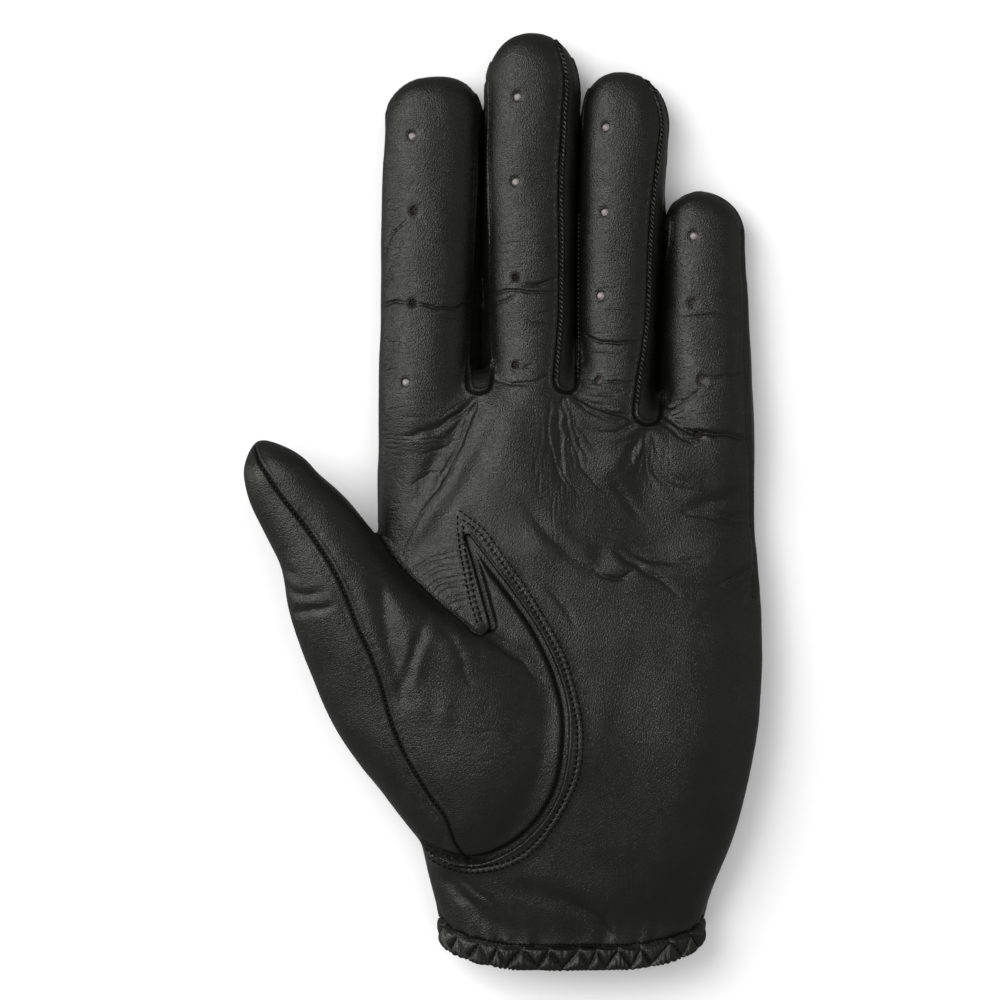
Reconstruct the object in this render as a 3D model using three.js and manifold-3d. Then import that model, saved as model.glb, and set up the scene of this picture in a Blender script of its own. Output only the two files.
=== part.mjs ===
// A left-hand leather driving glove, lying on its back with the palm up and keeping the shape of a hand.
// Millimetres. X runs from the thumb side to the little finger side, Y from the wrist to the fingertips,
// Z up from the surface that the back of the glove lies on. The origin is below the middle of the glove.
//
// The glove is one hollow skin, cut along its seams: the trank (palm, back and the fronts and backs of the
// fingers, one hide folded round the index side), the thumb with the ball of the hand, and a fork between
// each pair of fingers. A gathered hem closes the wrist, and a thin lining lies behind the punched fingers.

import * as THREE from "three";
import { mergeVertices } from "three/addons/utils/BufferGeometryUtils.js";
import Module from "manifold-3d";

// Driving dimensions
const LEATHER = 1.2; // thickness of the hide
const SEAM_GAP = 0.3; // clearance between two pieces at a seam
const HOLE_RADIUS = 0.95; // punched ventilation holes
const LINING = { thickness: 0.7, halfWidth: 6, overrun: 5 };
const THUMB_SEAM_HEIGHT = 6; // height of the thumb's seam along the side of the hand
const REST_HEIGHT = 0; // the surface that flattens the back of the glove
const TOP = 60; // above everything
const FAR = 200; // past everything, sideways
const SIDES = { finger: 14, thumb: 20, palm: 32, hole: 8 };
const CAP_STEPS = 4; // sections that round off a fingertip
const CORNER = 2.5; // power of the rounded cross-sections: 2 is an ellipse, more is boxier

// Each tube of the glove is a row of cross-sections: its left, right, low and high edges at one y.
// The tip row closes it with a rounded cap.
const FINGERS = {
  index: {
    tip: { x: -14.0, y: 106.4, z: 11.2, power: 2.4 },
    seams: { left: 0, right: 1.5 },
    holes: [
      { x: -22.5, y: 90.8 },
      { x: -21.8, y: 72.0 },
      { x: -22.2, y: 49.0 },
      { x: -24.0, y: 29.3 },
    ],
    sections: [
      { y: 4, left: -28.0, right: -10.0, low: 1.0, high: 20.4 },
      { y: 24, left: -30.8, right: -8.0, low: -1.2, high: 21.0 },
      { y: 45, left: -30.4, right: -6.9, low: -0.7, high: 19.6 },
      { y: 48.5, left: -30.1, right: -6.7, low: -0.6, high: 18.3 },
      { y: 52, left: -30.3, right: -6.4, low: -0.5, high: 19.2 },
      { y: 74, left: -30.1, right: -5.5, low: 0.5, high: 17.8 },
      { y: 95, left: -29.2, right: -5.0, low: 2.6, high: 17.4 },
    ],
  },
  middle: {
    tip: { x: 8.0, y: 117.2, z: 11.6, power: 2.4 },
    seams: { left: 1.4, right: 4.2 },
    holes: [
      { x: 3.8, y: 100.5 },
      { x: 3.3, y: 79.3 },
      { x: 3.5, y: 55.3 },
      { x: 3.3, y: 33.5 },
    ],
    sections: [
      { y: 4, left: -1.8, right: 17.6, low: 0.4, high: 21.4 },
      { y: 24, left: -2.4, right: 18.4, low: -1.2, high: 21.6 },
      { y: 50, left: -3.3, right: 18.5, low: -0.6, high: 20.0 },
      { y: 53.5, left: -3.4, right: 18.4, low: -0.5, high: 18.7 },
      { y: 57, left: -3.6, right: 18.6, low: -0.3, high: 19.6 },
      { y: 79, left: -4.2, right: 18.9, low: 0.8, high: 18.6 },
      { y: 101, left: -4.0, right: 19.6, low: 2.8, high: 18.2 },
    ],
  },
  ring: {
    tip: { x: 30.4, y: 107.4, z: 11.4, power: 2.4 },
    seams: { left: 1.4, right: 3.1 },
    holes: [
      { x: 25.8, y: 93.0 },
      { x: 25.5, y: 71.8 },
      { x: 24.5, y: 51.0 },
      { x: 24.0, y: 30.0 },
    ],
    sections: [
      { y: 0, left: 21.2, right: 37.0, low: 0.6, high: 21.0 },
      { y: 22, left: 20.3, right: 37.9, low: -1.2, high: 21.0 },
      { y: 39, left: 19.7, right: 38.5, low: -0.7, high: 19.6 },
      { y: 42.5, left: 19.8, right: 38.6, low: -0.6, high: 18.4 },
      { y: 46, left: 19.6, right: 38.8, low: -0.5, high: 19.3 },
      { y: 70, left: 19.8, right: 40.5, low: 0.6, high: 18.0 },
      { y: 93, left: 20.4, right: 42.2, low: 2.6, high: 17.5 },
    ],
  },
  little: {
    tip: { x: 49.6, y: 77.7, z: 9.8, power: 2.4 },
    seams: { left: 1.5, right: 1.4 },
    holes: [
      { x: 47.8, y: 66.0 },
      { x: 47.5, y: 49.0 },
      { x: 50.0, y: 30.0 },
      { x: 49.2, y: 13.0 },
    ],
    sections: [
      { y: -10, left: 43.4, right: 61.4, low: 1.0, high: 19.2 },
      { y: 12, left: 41.7, right: 63.7, low: -1.2, high: 19.8 },
      { y: 17, left: 41.4, right: 63.4, low: -1.1, high: 18.4 },
      { y: 22, left: 41.1, right: 63.4, low: -1.0, high: 18.9 },
      { y: 45, left: 40.9, right: 62.4, low: -0.3, high: 17.2 },
      { y: 66, left: 41.5, right: 61.4, low: 1.8, high: 16.2 },
    ],
  },
};

// The hand itself, from the wrist to the knuckles. Its far end is rounded over between the fingers.
const PALM = {
  sections: [
    { y: -124, left: -15.6, right: 50.6, low: -1.6, high: 23.6 },
    { y: -104, left: -15.6, right: 50.8, low: -1.8, high: 23.8 },
    { y: -98, left: -17.4, right: 52.4, low: -2.0, high: 24.9 },
    { y: -84, left: -20.4, right: 57.1, low: -2.2, high: 26.8 },
    { y: -66, left: -23.8, right: 61.2, low: -2.2, high: 27.2 },
    { y: -48, left: -27.0, right: 63.6, low: -2.2, high: 26.6 },
    { y: -30, left: -29.6, right: 65.0, low: -2.2, high: 25.8 },
    { y: -14, left: -30.9, right: 64.9, low: -2.2, high: 24.8 },
    { y: 0, left: -31.3, right: 63.7, low: -2.0, high: 23.8 },
    { y: 14, left: -31.1, right: 63.6, low: -1.8, high: 22.4 },
  ],
  end: { length: 18.5, steps: 4 },
};
// Past the ring finger the knuckle line drops towards the wrist.
const KNUCKLE_DROP = { from: 27, to: 41, depth: 9 };

// The thumb, from the heel of the hand up to its tip. The wide rows are the ball of the hand.
const THUMB = {
  tip: { x: -60.3, y: 15.6, z: 21.5, power: 2.0 },
  slant: 1.35, // its sides slant, so their inside lies further in to keep the hide's thickness
  sections: [
    { y: -86, left: -19.4, right: 2.0, low: 7.0, high: 26.4 },
    { y: -80, left: -24.4, right: 8.6, low: 4.4, high: 28.8 },
    { y: -72, left: -30.6, right: 13.2, low: 4.2, high: 30.0 },
    { y: -62, left: -38.4, right: 15.4, low: 5.2, high: 30.8 },
    { y: -52, left: -44.0, right: 14.8, low: 6.2, high: 31.2 },
    { y: -43, left: -47.6, right: 11.4, low: 7.0, high: 31.6 },
    { y: -36, left: -50.4, right: 3.4, low: 7.4, high: 31.8 },
    { y: -30, left: -52.3, right: -8.6, low: 7.8, high: 31.8 },
    { y: -24, left: -53.6, right: -17.4, low: 8.2, high: 31.6 },
    { y: -17, left: -54.8, right: -24.4, low: 8.8, high: 31.0 },
    { y: -8, left: -59.2, right: -31.6, low: 10.0, high: 30.2 },
    { y: 1, left: -63.2, right: -39.0, low: 11.6, high: 29.6 },
    { y: 7, left: -64.7, right: -46.0, low: 13.2, high: 29.2 },
  ],
  heel: { x: -12.0, y: -91.5, z: 18.0, power: 2.0 },
};

// The edge of the thumb hole in the palm, from the crotch up to the point and down round the ball of the hand.
const THUMB_HOLE = [
  { x: -6.6, y: -32.6 },
  { x: -4.6, y: -33.2 },
  { x: -3.4, y: -31.2 },
  { x: -5.2, y: -23.5 },
  { x: -8.0, y: -12.0 },
  { x: -8.8, y: -8.4 },
  { x: -7.2, y: -8.0 },
  { x: -2.5, y: -15.0 },
  { x: 3.6, y: -24.0 },
  { x: 9.8, y: -33.4 },
  { x: 14.2, y: -43.2 },
  { x: 16.6, y: -52.6 },
  { x: 16.9, y: -61.4 },
  { x: 14.4, y: -72.0 },
  { x: 9.4, y: -80.2 },
  { x: 2.0, y: -86.6 },
  { x: -6.6, y: -90.0 },
  { x: -14.0, y: -89.0 },
  { x: -19.6, y: -86.0 },
  { x: -27.0, y: -82.6 },
];
const THUMB_HOLE_END = { x: -70, y: -82.6 }; // out past the side of the hand

// The wrist: the hide ends at hemLine(z), lower at the front than at the back, and the hem goes on from there.
const WRIST = { side: -104.4, front: -110.9, back: -103.4, middle: 11.5 };
const HEM = {
  height: 5.6, // along the hand
  thickness: 2.2, // the folded leather with its elastic
  proud: 0.5, // how far it stands out past the wrist
  gathers: 26,
  depth: 0.55, // of a gather
  steps: 78,
};

const COLOURS = { leather: 0x242422, hem: 0x1f1f1e, lining: 0x9c968f };

const wasm = await Module();
wasm.setup();

// Solids and meshes

// A closed three.js geometry as a solid that can be joined and cut.
function solidOf(geometry) {
  const bare = new THREE.BufferGeometry();
  bare.setAttribute("position", geometry.getAttribute("position").clone());
  bare.setIndex(geometry.getIndex());
  const merged = mergeVertices(bare, 1e-4);
  const vertProperties = merged.getAttribute("position").array;
  const triVerts = new Uint32Array(merged.getIndex().array);
  const solid = new wasm.Manifold(new wasm.Mesh({ numProp: 3, vertProperties, triVerts }));
  if (solid.volume() > 0) return solid;
  return new wasm.Manifold(
    new wasm.Mesh({ numProp: 3, vertProperties, triVerts: triVerts.toReversed() }),
  );
}

function geometryOf(solid) {
  const mesh = solid.getMesh();
  const geometry = new THREE.BufferGeometry();
  const position = new Float32Array(mesh.numVert * 3);
  for (let i = 0; i < mesh.numVert; i++) {
    position.set(mesh.vertProperties.subarray(i * mesh.numProp, i * mesh.numProp + 3), i * 3);
  }
  geometry.setAttribute("position", new THREE.BufferAttribute(position, 3));
  geometry.setIndex(new THREE.BufferAttribute(mesh.triVerts, 1));
  geometry.computeVertexNormals();
  return geometry;
}

// The largest of the bodies that a cut leaves: slivers off its edges are dropped.
function mainBody(solid) {
  return solid.decompose().reduce((a, b) => (a.volume() > b.volume() ? a : b));
}

// A skin over rings of points. Open ends are closed with a fan; rings that loop are joined end to start.
function skin(rings, closedLoop = false) {
  const count = rings[0].length;
  const points = rings.flat();
  const faces = [];
  const last = closedLoop ? rings.length : rings.length - 1;
  for (let r = 0; r < last; r++) {
    const a = r * count;
    const b = ((r + 1) % rings.length) * count;
    for (let i = 0; i < count; i++) {
      const j = (i + 1) % count;
      faces.push(a + i, b + i, b + j, a + i, b + j, a + j);
    }
  }
  if (!closedLoop) {
    for (const [r, flip] of [
      [0, false],
      [rings.length - 1, true],
    ]) {
      const centre = rings[r].reduce((sum, p) => sum.add(p), new THREE.Vector3());
      points.push(centre.divideScalar(count));
      const c = points.length - 1;
      for (let i = 0; i < count; i++) {
        const a = r * count + i;
        const b = r * count + ((i + 1) % count);
        faces.push(c, flip ? b : a, flip ? a : b);
      }
    }
  }
  const geometry = new THREE.BufferGeometry().setFromPoints(points);
  geometry.setIndex(faces);
  return geometry;
}

// Everything above a plan outline, between two heights.
function prism(outline, from, to) {
  const shape = new THREE.Shape(outline.map((p) => new THREE.Vector2(p.x, p.y)));
  const geometry = new THREE.ExtrudeGeometry(shape, { depth: to - from, bevelEnabled: false });
  geometry.translate(0, 0, from);
  return solidOf(geometry);
}

// Cross-sections

const mix = (a, b, t) => a + (b - a) * t;
const smooth = (from, to, v) => {
  const t = Math.min(1, Math.max(0, (v - from) / (to - from)));
  return t * t * (3 - 2 * t);
};
const knuckleDrop = (x) => KNUCKLE_DROP.depth * smooth(KNUCKLE_DROP.from, KNUCKLE_DROP.to, x);

// The share of a section that is left at a share of the way into a rounded cap.
const capShare = (s, power) => (1 - s ** power) ** (1 / power);

// A tube's cross-section at y, its edges moved in by inset.
function sectionAt(tube, y, inset = 0) {
  const deeper = inset * (tube.slant ?? 1);
  const rows = tube.sections;
  const first = rows[0];
  const last = rows[rows.length - 1];
  const cap = y > last.y ? tube.tip : y < first.y ? tube.heel : undefined;
  let row;
  if (cap) {
    const base = y > last.y ? last : first;
    const s = Math.min(1, (y - base.y) / (cap.y - base.y));
    const share = capShare(s, cap.power);
    const x = mix((base.left + base.right) / 2, cap.x, s * s);
    const z = mix((base.low + base.high) / 2, cap.z, s * s);
    const a = ((base.right - base.left) / 2) * share;
    const b = ((base.high - base.low) / 2) * share;
    row = { left: x - a, right: x + a, low: z - b, high: z + b };
  } else {
    const i = Math.max(1, rows.findIndex((r) => r.y >= y));
    const t = (y - rows[i - 1].y) / (rows[i].y - rows[i - 1].y);
    row = Object.fromEntries(
      ["left", "right", "low", "high"].map((k) => [k, mix(rows[i - 1][k], rows[i][k], t)]),
    );
  }
  return {
    y,
    x: (row.left + row.right) / 2,
    z: (row.low + row.high) / 2,
    a: Math.max(0.05, (row.right - row.left) / 2 - deeper),
    b: Math.max(0.05, (row.high - row.low) / 2 - inset),
  };
}

// A sine or cosine bent so that it draws a rounded rectangle instead of an ellipse.
const boxy = (v) => Math.sign(v) * Math.abs(v) ** (2 / CORNER);

// The ring of points round a cross-section.
function ringOf(section, sides) {
  return Array.from({ length: sides }, (_, i) => {
    const angle = (2 * Math.PI * (i + 0.5)) / sides;
    return new THREE.Vector3(
      section.x + section.a * boxy(Math.cos(angle)),
      section.y,
      section.z + section.b * boxy(Math.sin(angle)),
    );
  });
}

// The heights y of the cross-sections in the cap at one end of a tube, short of its tip by inset.
function capRows(base, tip, inset) {
  const reach = tip.y - base.y - Math.sign(tip.y - base.y) * inset;
  return Array.from({ length: CAP_STEPS }, (_, k) => {
    const angle = ((k + 1) / (CAP_STEPS + 0.4)) * (Math.PI / 2);
    return { at: base.y + reach * Math.sin(angle), scale: reach / (tip.y - base.y) };
  });
}

// A finger or thumb as a solid, its wall moved in by inset.
function tubeSolid(tube, sides, inset = 0) {
  const rows = tube.sections;
  const base = rows[rows.length - 1];
  const rings = rows.map((r) => ringOf(sectionAt(tube, r.y, inset), sides));
  for (const { at, scale } of capRows(base, tube.tip, inset)) {
    const stretched = sectionAt(tube, base.y + (at - base.y) / scale, inset);
    rings.push(ringOf({ ...stretched, y: at }, sides));
  }
  if (tube.heel) {
    for (const { at, scale } of capRows(rows[0], tube.heel, inset)) {
      const stretched = sectionAt(tube, rows[0].y + (at - rows[0].y) / scale, inset);
      rings.unshift(ringOf({ ...stretched, y: at }, sides));
    }
  }
  return solidOf(skin(rings));
}

// The hand from the wrist to the knuckles as a solid. Its end is rounded over, top and bottom, and its
// points slide towards the wrist past the ring finger.
function palmSolid(inset = 0) {
  const rows = PALM.sections;
  const base = rows[rows.length - 1];
  const rings = rows.map((r) => ringOf(sectionAt(PALM, r.y, inset), SIDES.palm));
  for (let k = 1; k <= PALM.end.steps; k++) {
    const s = Math.sin((k / PALM.end.steps) * (Math.PI / 2) * 0.93);
    const section = sectionAt(PALM, base.y, inset);
    const y = base.y + (PALM.end.length - inset) * s;
    const b = section.b * capShare(s, CORNER);
    rings.push(ringOf({ ...section, y, b }, SIDES.palm));
  }
  for (const ring of rings) {
    for (const p of ring) {
      p.y -= knuckleDrop(p.x) * smooth(rows[0].y, base.y, p.y);
    }
  }
  return solidOf(skin(rings));
}

// The whole hand, filled: every tube joined, and flat underneath where it rests.
function handSolid(inset = 0) {
  let hand = palmSolid(inset).add(tubeSolid(THUMB, SIDES.thumb, inset));
  for (const finger of Object.values(FINGERS)) {
    hand = hand.add(tubeSolid(finger, SIDES.finger, inset));
  }
  const below = new THREE.BoxGeometry(2 * FAR, 2 * FAR, TOP);
  below.translate(0, 0, REST_HEIGHT + inset - TOP / 2);
  return hand.subtract(solidOf(below));
}

// Seam lines, as plan outlines

// A plan line moved sideways by distance, towards the left of its direction. Corners are mitred.
function shifted(line, distance) {
  const normal = (a, b) => {
    const length = Math.hypot(b.x - a.x, b.y - a.y);
    return { x: (a.y - b.y) / length, y: (b.x - a.x) / length };
  };
  return line.map((p, i) => {
    const before = normal(line[Math.max(0, i - 1)], line[Math.max(1, i)]);
    const after = normal(line[Math.min(line.length - 2, i)], line[Math.min(line.length - 1, i + 1)]);
    const x = before.x + after.x;
    const y = before.y + after.y;
    const reach = (2 * distance) / Math.max(0.5, x * x + y * y);
    return { x: p.x + x * reach, y: p.y + y * reach };
  });
}

// One side seam of a finger, from y up to its tip.
function sideSeam(finger, side, from) {
  const rows = finger.sections;
  const base = rows[rows.length - 1];
  const ys = [from, ...rows.map((r) => r.y).filter((y) => y > from + 1)];
  for (const { at } of capRows(base, finger.tip, 0)) ys.push(at);
  return ys.map((y) => {
    const s = sectionAt(finger, y);
    const widest = sectionAt(finger, Math.min(y, base.y)).a;
    const inset = finger.seams[side] * (s.a / widest);
    return { x: side === "left" ? s.x - s.a + inset : s.x + s.a - inset, y };
  });
}

// The plan of the fork between two fingers: up both seams, round the crotch, and out over the tips.
function forkOutline(lower, upper, crotch, inset) {
  const near = shifted(sideSeam(lower, "right", crotch.y + crotch.round), -inset);
  const far = shifted(sideSeam(upper, "left", crotch.y + crotch.round), inset);
  const middle = (near[0].x + far[0].x) / 2;
  const half = (far[0].x - near[0].x) / 2;
  const round = [];
  for (let k = 1; k < 6; k++) {
    const angle = Math.PI * (k / 6);
    round.push({
      x: middle - half * Math.cos(angle),
      y: near[0].y - (crotch.round - inset) * Math.sin(angle),
    });
  }
  const clear = Math.max(lower.tip.y, upper.tip.y) + 3;
  const over = [
    { x: far[far.length - 1].x, y: clear },
    { x: near[near.length - 1].x, y: clear },
  ];
  return [...near.toReversed(), ...round, ...far, ...over];
}

// The plan of the thumb piece: down the thumb's right side, then along the edge of the thumb hole.
function thumbOutline(inset) {
  const clear = 1.2; // past the widest part of the thumb
  const rows = THUMB.sections.filter((r) => r.y > THUMB_HOLE[0].y + 4);
  const right = rows.map((r) => ({ x: r.right + clear, y: r.y })).toReversed();
  const start = { x: right[0].x, y: THUMB.tip.y + 10 };
  const line = shifted([start, ...right, ...THUMB_HOLE, THUMB_HOLE_END], -inset);
  return [...line, { x: THUMB_HOLE_END.x, y: start.y }];
}

// The pieces

const hand = handSolid().subtract(handSolid(LEATHER));

function hemLine(z) {
  const s = (z - WRIST.middle) / WRIST.middle;
  const end = s > 0 ? WRIST.front : WRIST.back;
  return mix(WRIST.side, end, Math.min(1, Math.abs(s)));
}

// Everything past the end of the hide at the wrist: an outline in Y and Z, drawn out along X.
function wristCut() {
  const heights = [-5, 0, WRIST.middle, 2 * WRIST.middle, 30];
  const line = heights.map((z) => new THREE.Vector2(hemLine(z), z));
  line.push(new THREE.Vector2(-FAR, heights[heights.length - 1]), new THREE.Vector2(-FAR, heights[0]));
  const geometry = new THREE.ExtrudeGeometry(new THREE.Shape(line), {
    depth: 2 * FAR,
    bevelEnabled: false,
  });
  const basis = new THREE.Matrix4().makeBasis(
    new THREE.Vector3(0, 1, 0),
    new THREE.Vector3(0, 0, 1),
    new THREE.Vector3(1, 0, 0),
  );
  return solidOf(geometry.applyMatrix4(basis).translate(-FAR, 0, 0));
}

const FORKS = {
  fork_index_middle: { lower: "index", upper: "middle", crotch: { y: 27.6, round: 4.6 } },
  fork_middle_ring: { lower: "middle", upper: "ring", crotch: { y: 27.2, round: 4.0 } },
  fork_ring_little: { lower: "ring", upper: "little", crotch: { y: 18.6, round: 4.4 } },
};

function forkPrism({ lower, upper, crotch }, inset) {
  return prism(forkOutline(FINGERS[lower], FINGERS[upper], crotch, inset), -1, TOP);
}

function holePunch(hole, finger) {
  const section = sectionAt(finger, hole.y);
  const punch = new THREE.CylinderGeometry(HOLE_RADIUS, HOLE_RADIUS, TOP - section.z, SIDES.hole);
  punch.rotateX(Math.PI / 2).translate(hole.x, hole.y, (TOP + section.z) / 2);
  return solidOf(punch);
}

function trank() {
  let piece = hand.subtract(wristCut());
  piece = piece.subtract(prism(thumbOutline(0), THUMB_SEAM_HEIGHT, TOP));
  for (const fork of Object.values(FORKS)) piece = piece.subtract(forkPrism(fork, 0));
  for (const finger of Object.values(FINGERS)) {
    for (const hole of finger.holes) piece = piece.subtract(holePunch(hole, finger));
  }
  return geometryOf(mainBody(piece));
}

function thumb() {
  const region = prism(thumbOutline(SEAM_GAP), THUMB_SEAM_HEIGHT + SEAM_GAP, TOP);
  return geometryOf(mainBody(hand.intersect(region)));
}

function fork(name) {
  return geometryOf(mainBody(hand.intersect(forkPrism(FORKS[name], SEAM_GAP))));
}

// The hem: a band of folded leather round the wrist, gathered by the elastic inside it.
function wristHem() {
  const wrist = sectionAt(PALM, WRIST.side);
  const top = wrist.z + wrist.b;
  const rings = [];
  for (let i = 0; i < HEM.steps; i++) {
    const angle = (2 * Math.PI * i) / HEM.steps;
    const gather = HEM.depth * (1 - Math.cos(HEM.gathers * angle));
    // A point of the band's profile: how deep it lies below the outermost surface, and how far along.
    const point = (deep, along) => {
      const z = wrist.z + (wrist.b + HEM.proud - deep) * boxy(Math.sin(angle));
      return new THREE.Vector3(
        wrist.x + (wrist.a + HEM.proud - deep) * boxy(Math.cos(angle)),
        hemLine(Math.min(z, top)) - along,
        Math.max(z, REST_HEIGHT + deep),
      );
    };
    rings.push([
      point(gather * 0.4 + HEM.proud, SEAM_GAP),
      point(gather, HEM.height * 0.35),
      point(gather, HEM.height * 0.75),
      point(HEM.thickness, HEM.height),
      point(HEM.thickness, SEAM_GAP),
    ]);
  }
  return geometryOf(solidOf(skin(rings, true)));
}

// The lining behind the punched front of a finger: a strip that follows the inside of the hide.
const liningInset = LEATHER + SEAM_GAP;
const liningSkin = handSolid(liningInset).subtract(handSolid(liningInset + LINING.thickness));

function fingerLining(finger) {
  const highest = finger.holes[0].y + LINING.overrun;
  const lowest = finger.holes[finger.holes.length - 1].y - LINING.overrun;
  const rows = finger.sections.filter((r) => r.y > lowest + 1 && r.y < highest - 1);
  const ys = [lowest, ...rows.map((r) => r.y), highest];
  const side = (sign) => ys.map((y) => ({ x: sectionAt(finger, y).x + sign * LINING.halfWidth, y }));
  const strip = prism([...side(1), ...side(-1).toReversed()], finger.tip.z, TOP);
  return geometryOf(mainBody(liningSkin.intersect(strip)));
}

function named(name, geometry, colour, roughness) {
  const material = new THREE.MeshStandardMaterial({ color: colour, roughness, metalness: 0 });
  const mesh = new THREE.Mesh(geometry, material);
  mesh.name = name;
  return mesh;
}

const glove = new THREE.Group();
glove.add(named("trank", trank(), COLOURS.leather, 0.55));
glove.add(named("thumb", thumb(), COLOURS.leather, 0.55));
for (const name of Object.keys(FORKS)) {
  glove.add(named(name, fork(name), COLOURS.leather, 0.55));
}
glove.add(named("wrist_hem", wristHem(), COLOURS.hem, 0.6));
for (const [name, finger] of Object.entries(FINGERS)) {
  glove.add(named(`lining_${name}`, fingerLining(finger), COLOURS.lining, 0.9));
}

export default glove;
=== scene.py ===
"""A left-hand black leather driving glove, lying palm up on a pale floor.

All shapes are worked out in millimetres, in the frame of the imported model, and turned into metres when
an object is made. The hide is one fine skin over the whole hand. It gets its folds, puckers and seam
edges as displacement, is cut along its seams, and each piece is given its thickness.
"""

import math

import bpy
import numpy as np
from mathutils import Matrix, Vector
from mathutils.bvhtree import BVHTree
from mathutils.kdtree import KDTree


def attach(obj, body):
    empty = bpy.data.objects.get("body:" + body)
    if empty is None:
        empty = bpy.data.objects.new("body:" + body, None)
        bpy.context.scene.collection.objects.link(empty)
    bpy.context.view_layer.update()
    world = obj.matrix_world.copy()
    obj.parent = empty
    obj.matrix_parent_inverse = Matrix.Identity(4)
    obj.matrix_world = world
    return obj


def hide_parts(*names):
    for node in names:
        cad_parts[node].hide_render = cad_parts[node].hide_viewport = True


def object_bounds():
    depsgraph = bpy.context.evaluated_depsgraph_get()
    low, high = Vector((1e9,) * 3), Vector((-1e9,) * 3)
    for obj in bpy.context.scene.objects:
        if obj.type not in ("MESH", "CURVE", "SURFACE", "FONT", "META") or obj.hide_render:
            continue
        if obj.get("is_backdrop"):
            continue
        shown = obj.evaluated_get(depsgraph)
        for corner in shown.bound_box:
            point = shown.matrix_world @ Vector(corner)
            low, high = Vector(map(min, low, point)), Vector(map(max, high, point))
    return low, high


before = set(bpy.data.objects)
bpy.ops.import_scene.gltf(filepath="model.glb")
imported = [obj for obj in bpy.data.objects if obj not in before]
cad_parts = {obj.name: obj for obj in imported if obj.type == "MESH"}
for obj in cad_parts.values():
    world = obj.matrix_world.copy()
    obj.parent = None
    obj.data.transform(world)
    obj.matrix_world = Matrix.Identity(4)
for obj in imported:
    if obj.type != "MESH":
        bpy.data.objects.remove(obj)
cad_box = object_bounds()

MM = 0.001
LEATHER = 1.2  # thickness of the hide
VOXEL = 0.8  # size of the skin's faces before it is refined
RELAX_ROUNDS = 26  # of smoothing, which blends the tubes into one hand
CORNER = 2.5  # power of the rounded cross-sections
SEAM_RADIUS = 2.4  # how far from a seam the skin is refined
SIDE_RADIUS = 1.6  # how far from the seam along the little finger's side
FOLD_REACH = 1.3  # how far from a fine fold it is refined, and the half width at which folds need none
FINE_ABOVE = 8  # height above which the skin is refined
CUT_MARGIN = 0.04  # how close to a cut no point is left
LINE_STEP = 0.5  # between the points of a smooth line
SECTION_STEP = 1.2  # between the sections of a tube
ROUND_STEPS = 16  # sections of a rounded end
FAR = 8.0  # distance from an outline beyond which it isn't worked out
NEAR = 3  # distance from an outline below which it is exact
OVERLAP = 0.15  # by which a finger's wall reaches past the line where it meets its neighbour
rng = np.random.default_rng(7)

# The photograph's frame, in pixels, and the size of a pixel at a height in metres
PHOTO_SIZE = 1000
PHOTO_MIDDLE = (501.5, 500)
PIXEL = 0.25
SCALE_HEIGHT = 0.014

# The pieces cut from the skin, in the order of their numbers, and their largest number of triangles
PIECES = {
    "trank": 192000,
    "thumb": 110000,
    "fork_index_middle": 40000,
    "fork_middle_ring": 40000,
    "fork_ring_little": 40000,
}
PLAIN_SHARE = 0.12  # of the triangles that is kept on the back and the inside
PLAIN_BELOW = 9  # height below which a face that looks down is part of the back
LOOSE = 0.12  # how far beside the true surface a point may be left

# How a triangle is divided when 1, 2 or 3 of its edges get a new point. Its corners are 0, 1 and 2, and
# 3, 4 and 5 are the new points on the edges that follow them.
DIVISIONS = {
    1: [(0, 3, 2), (3, 1, 2)],
    2: [(3, 1, 4), (0, 3, 4), (0, 4, 2)],
    3: [(0, 3, 5), (3, 1, 4), (5, 4, 2), (3, 4, 5)],
}

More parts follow.
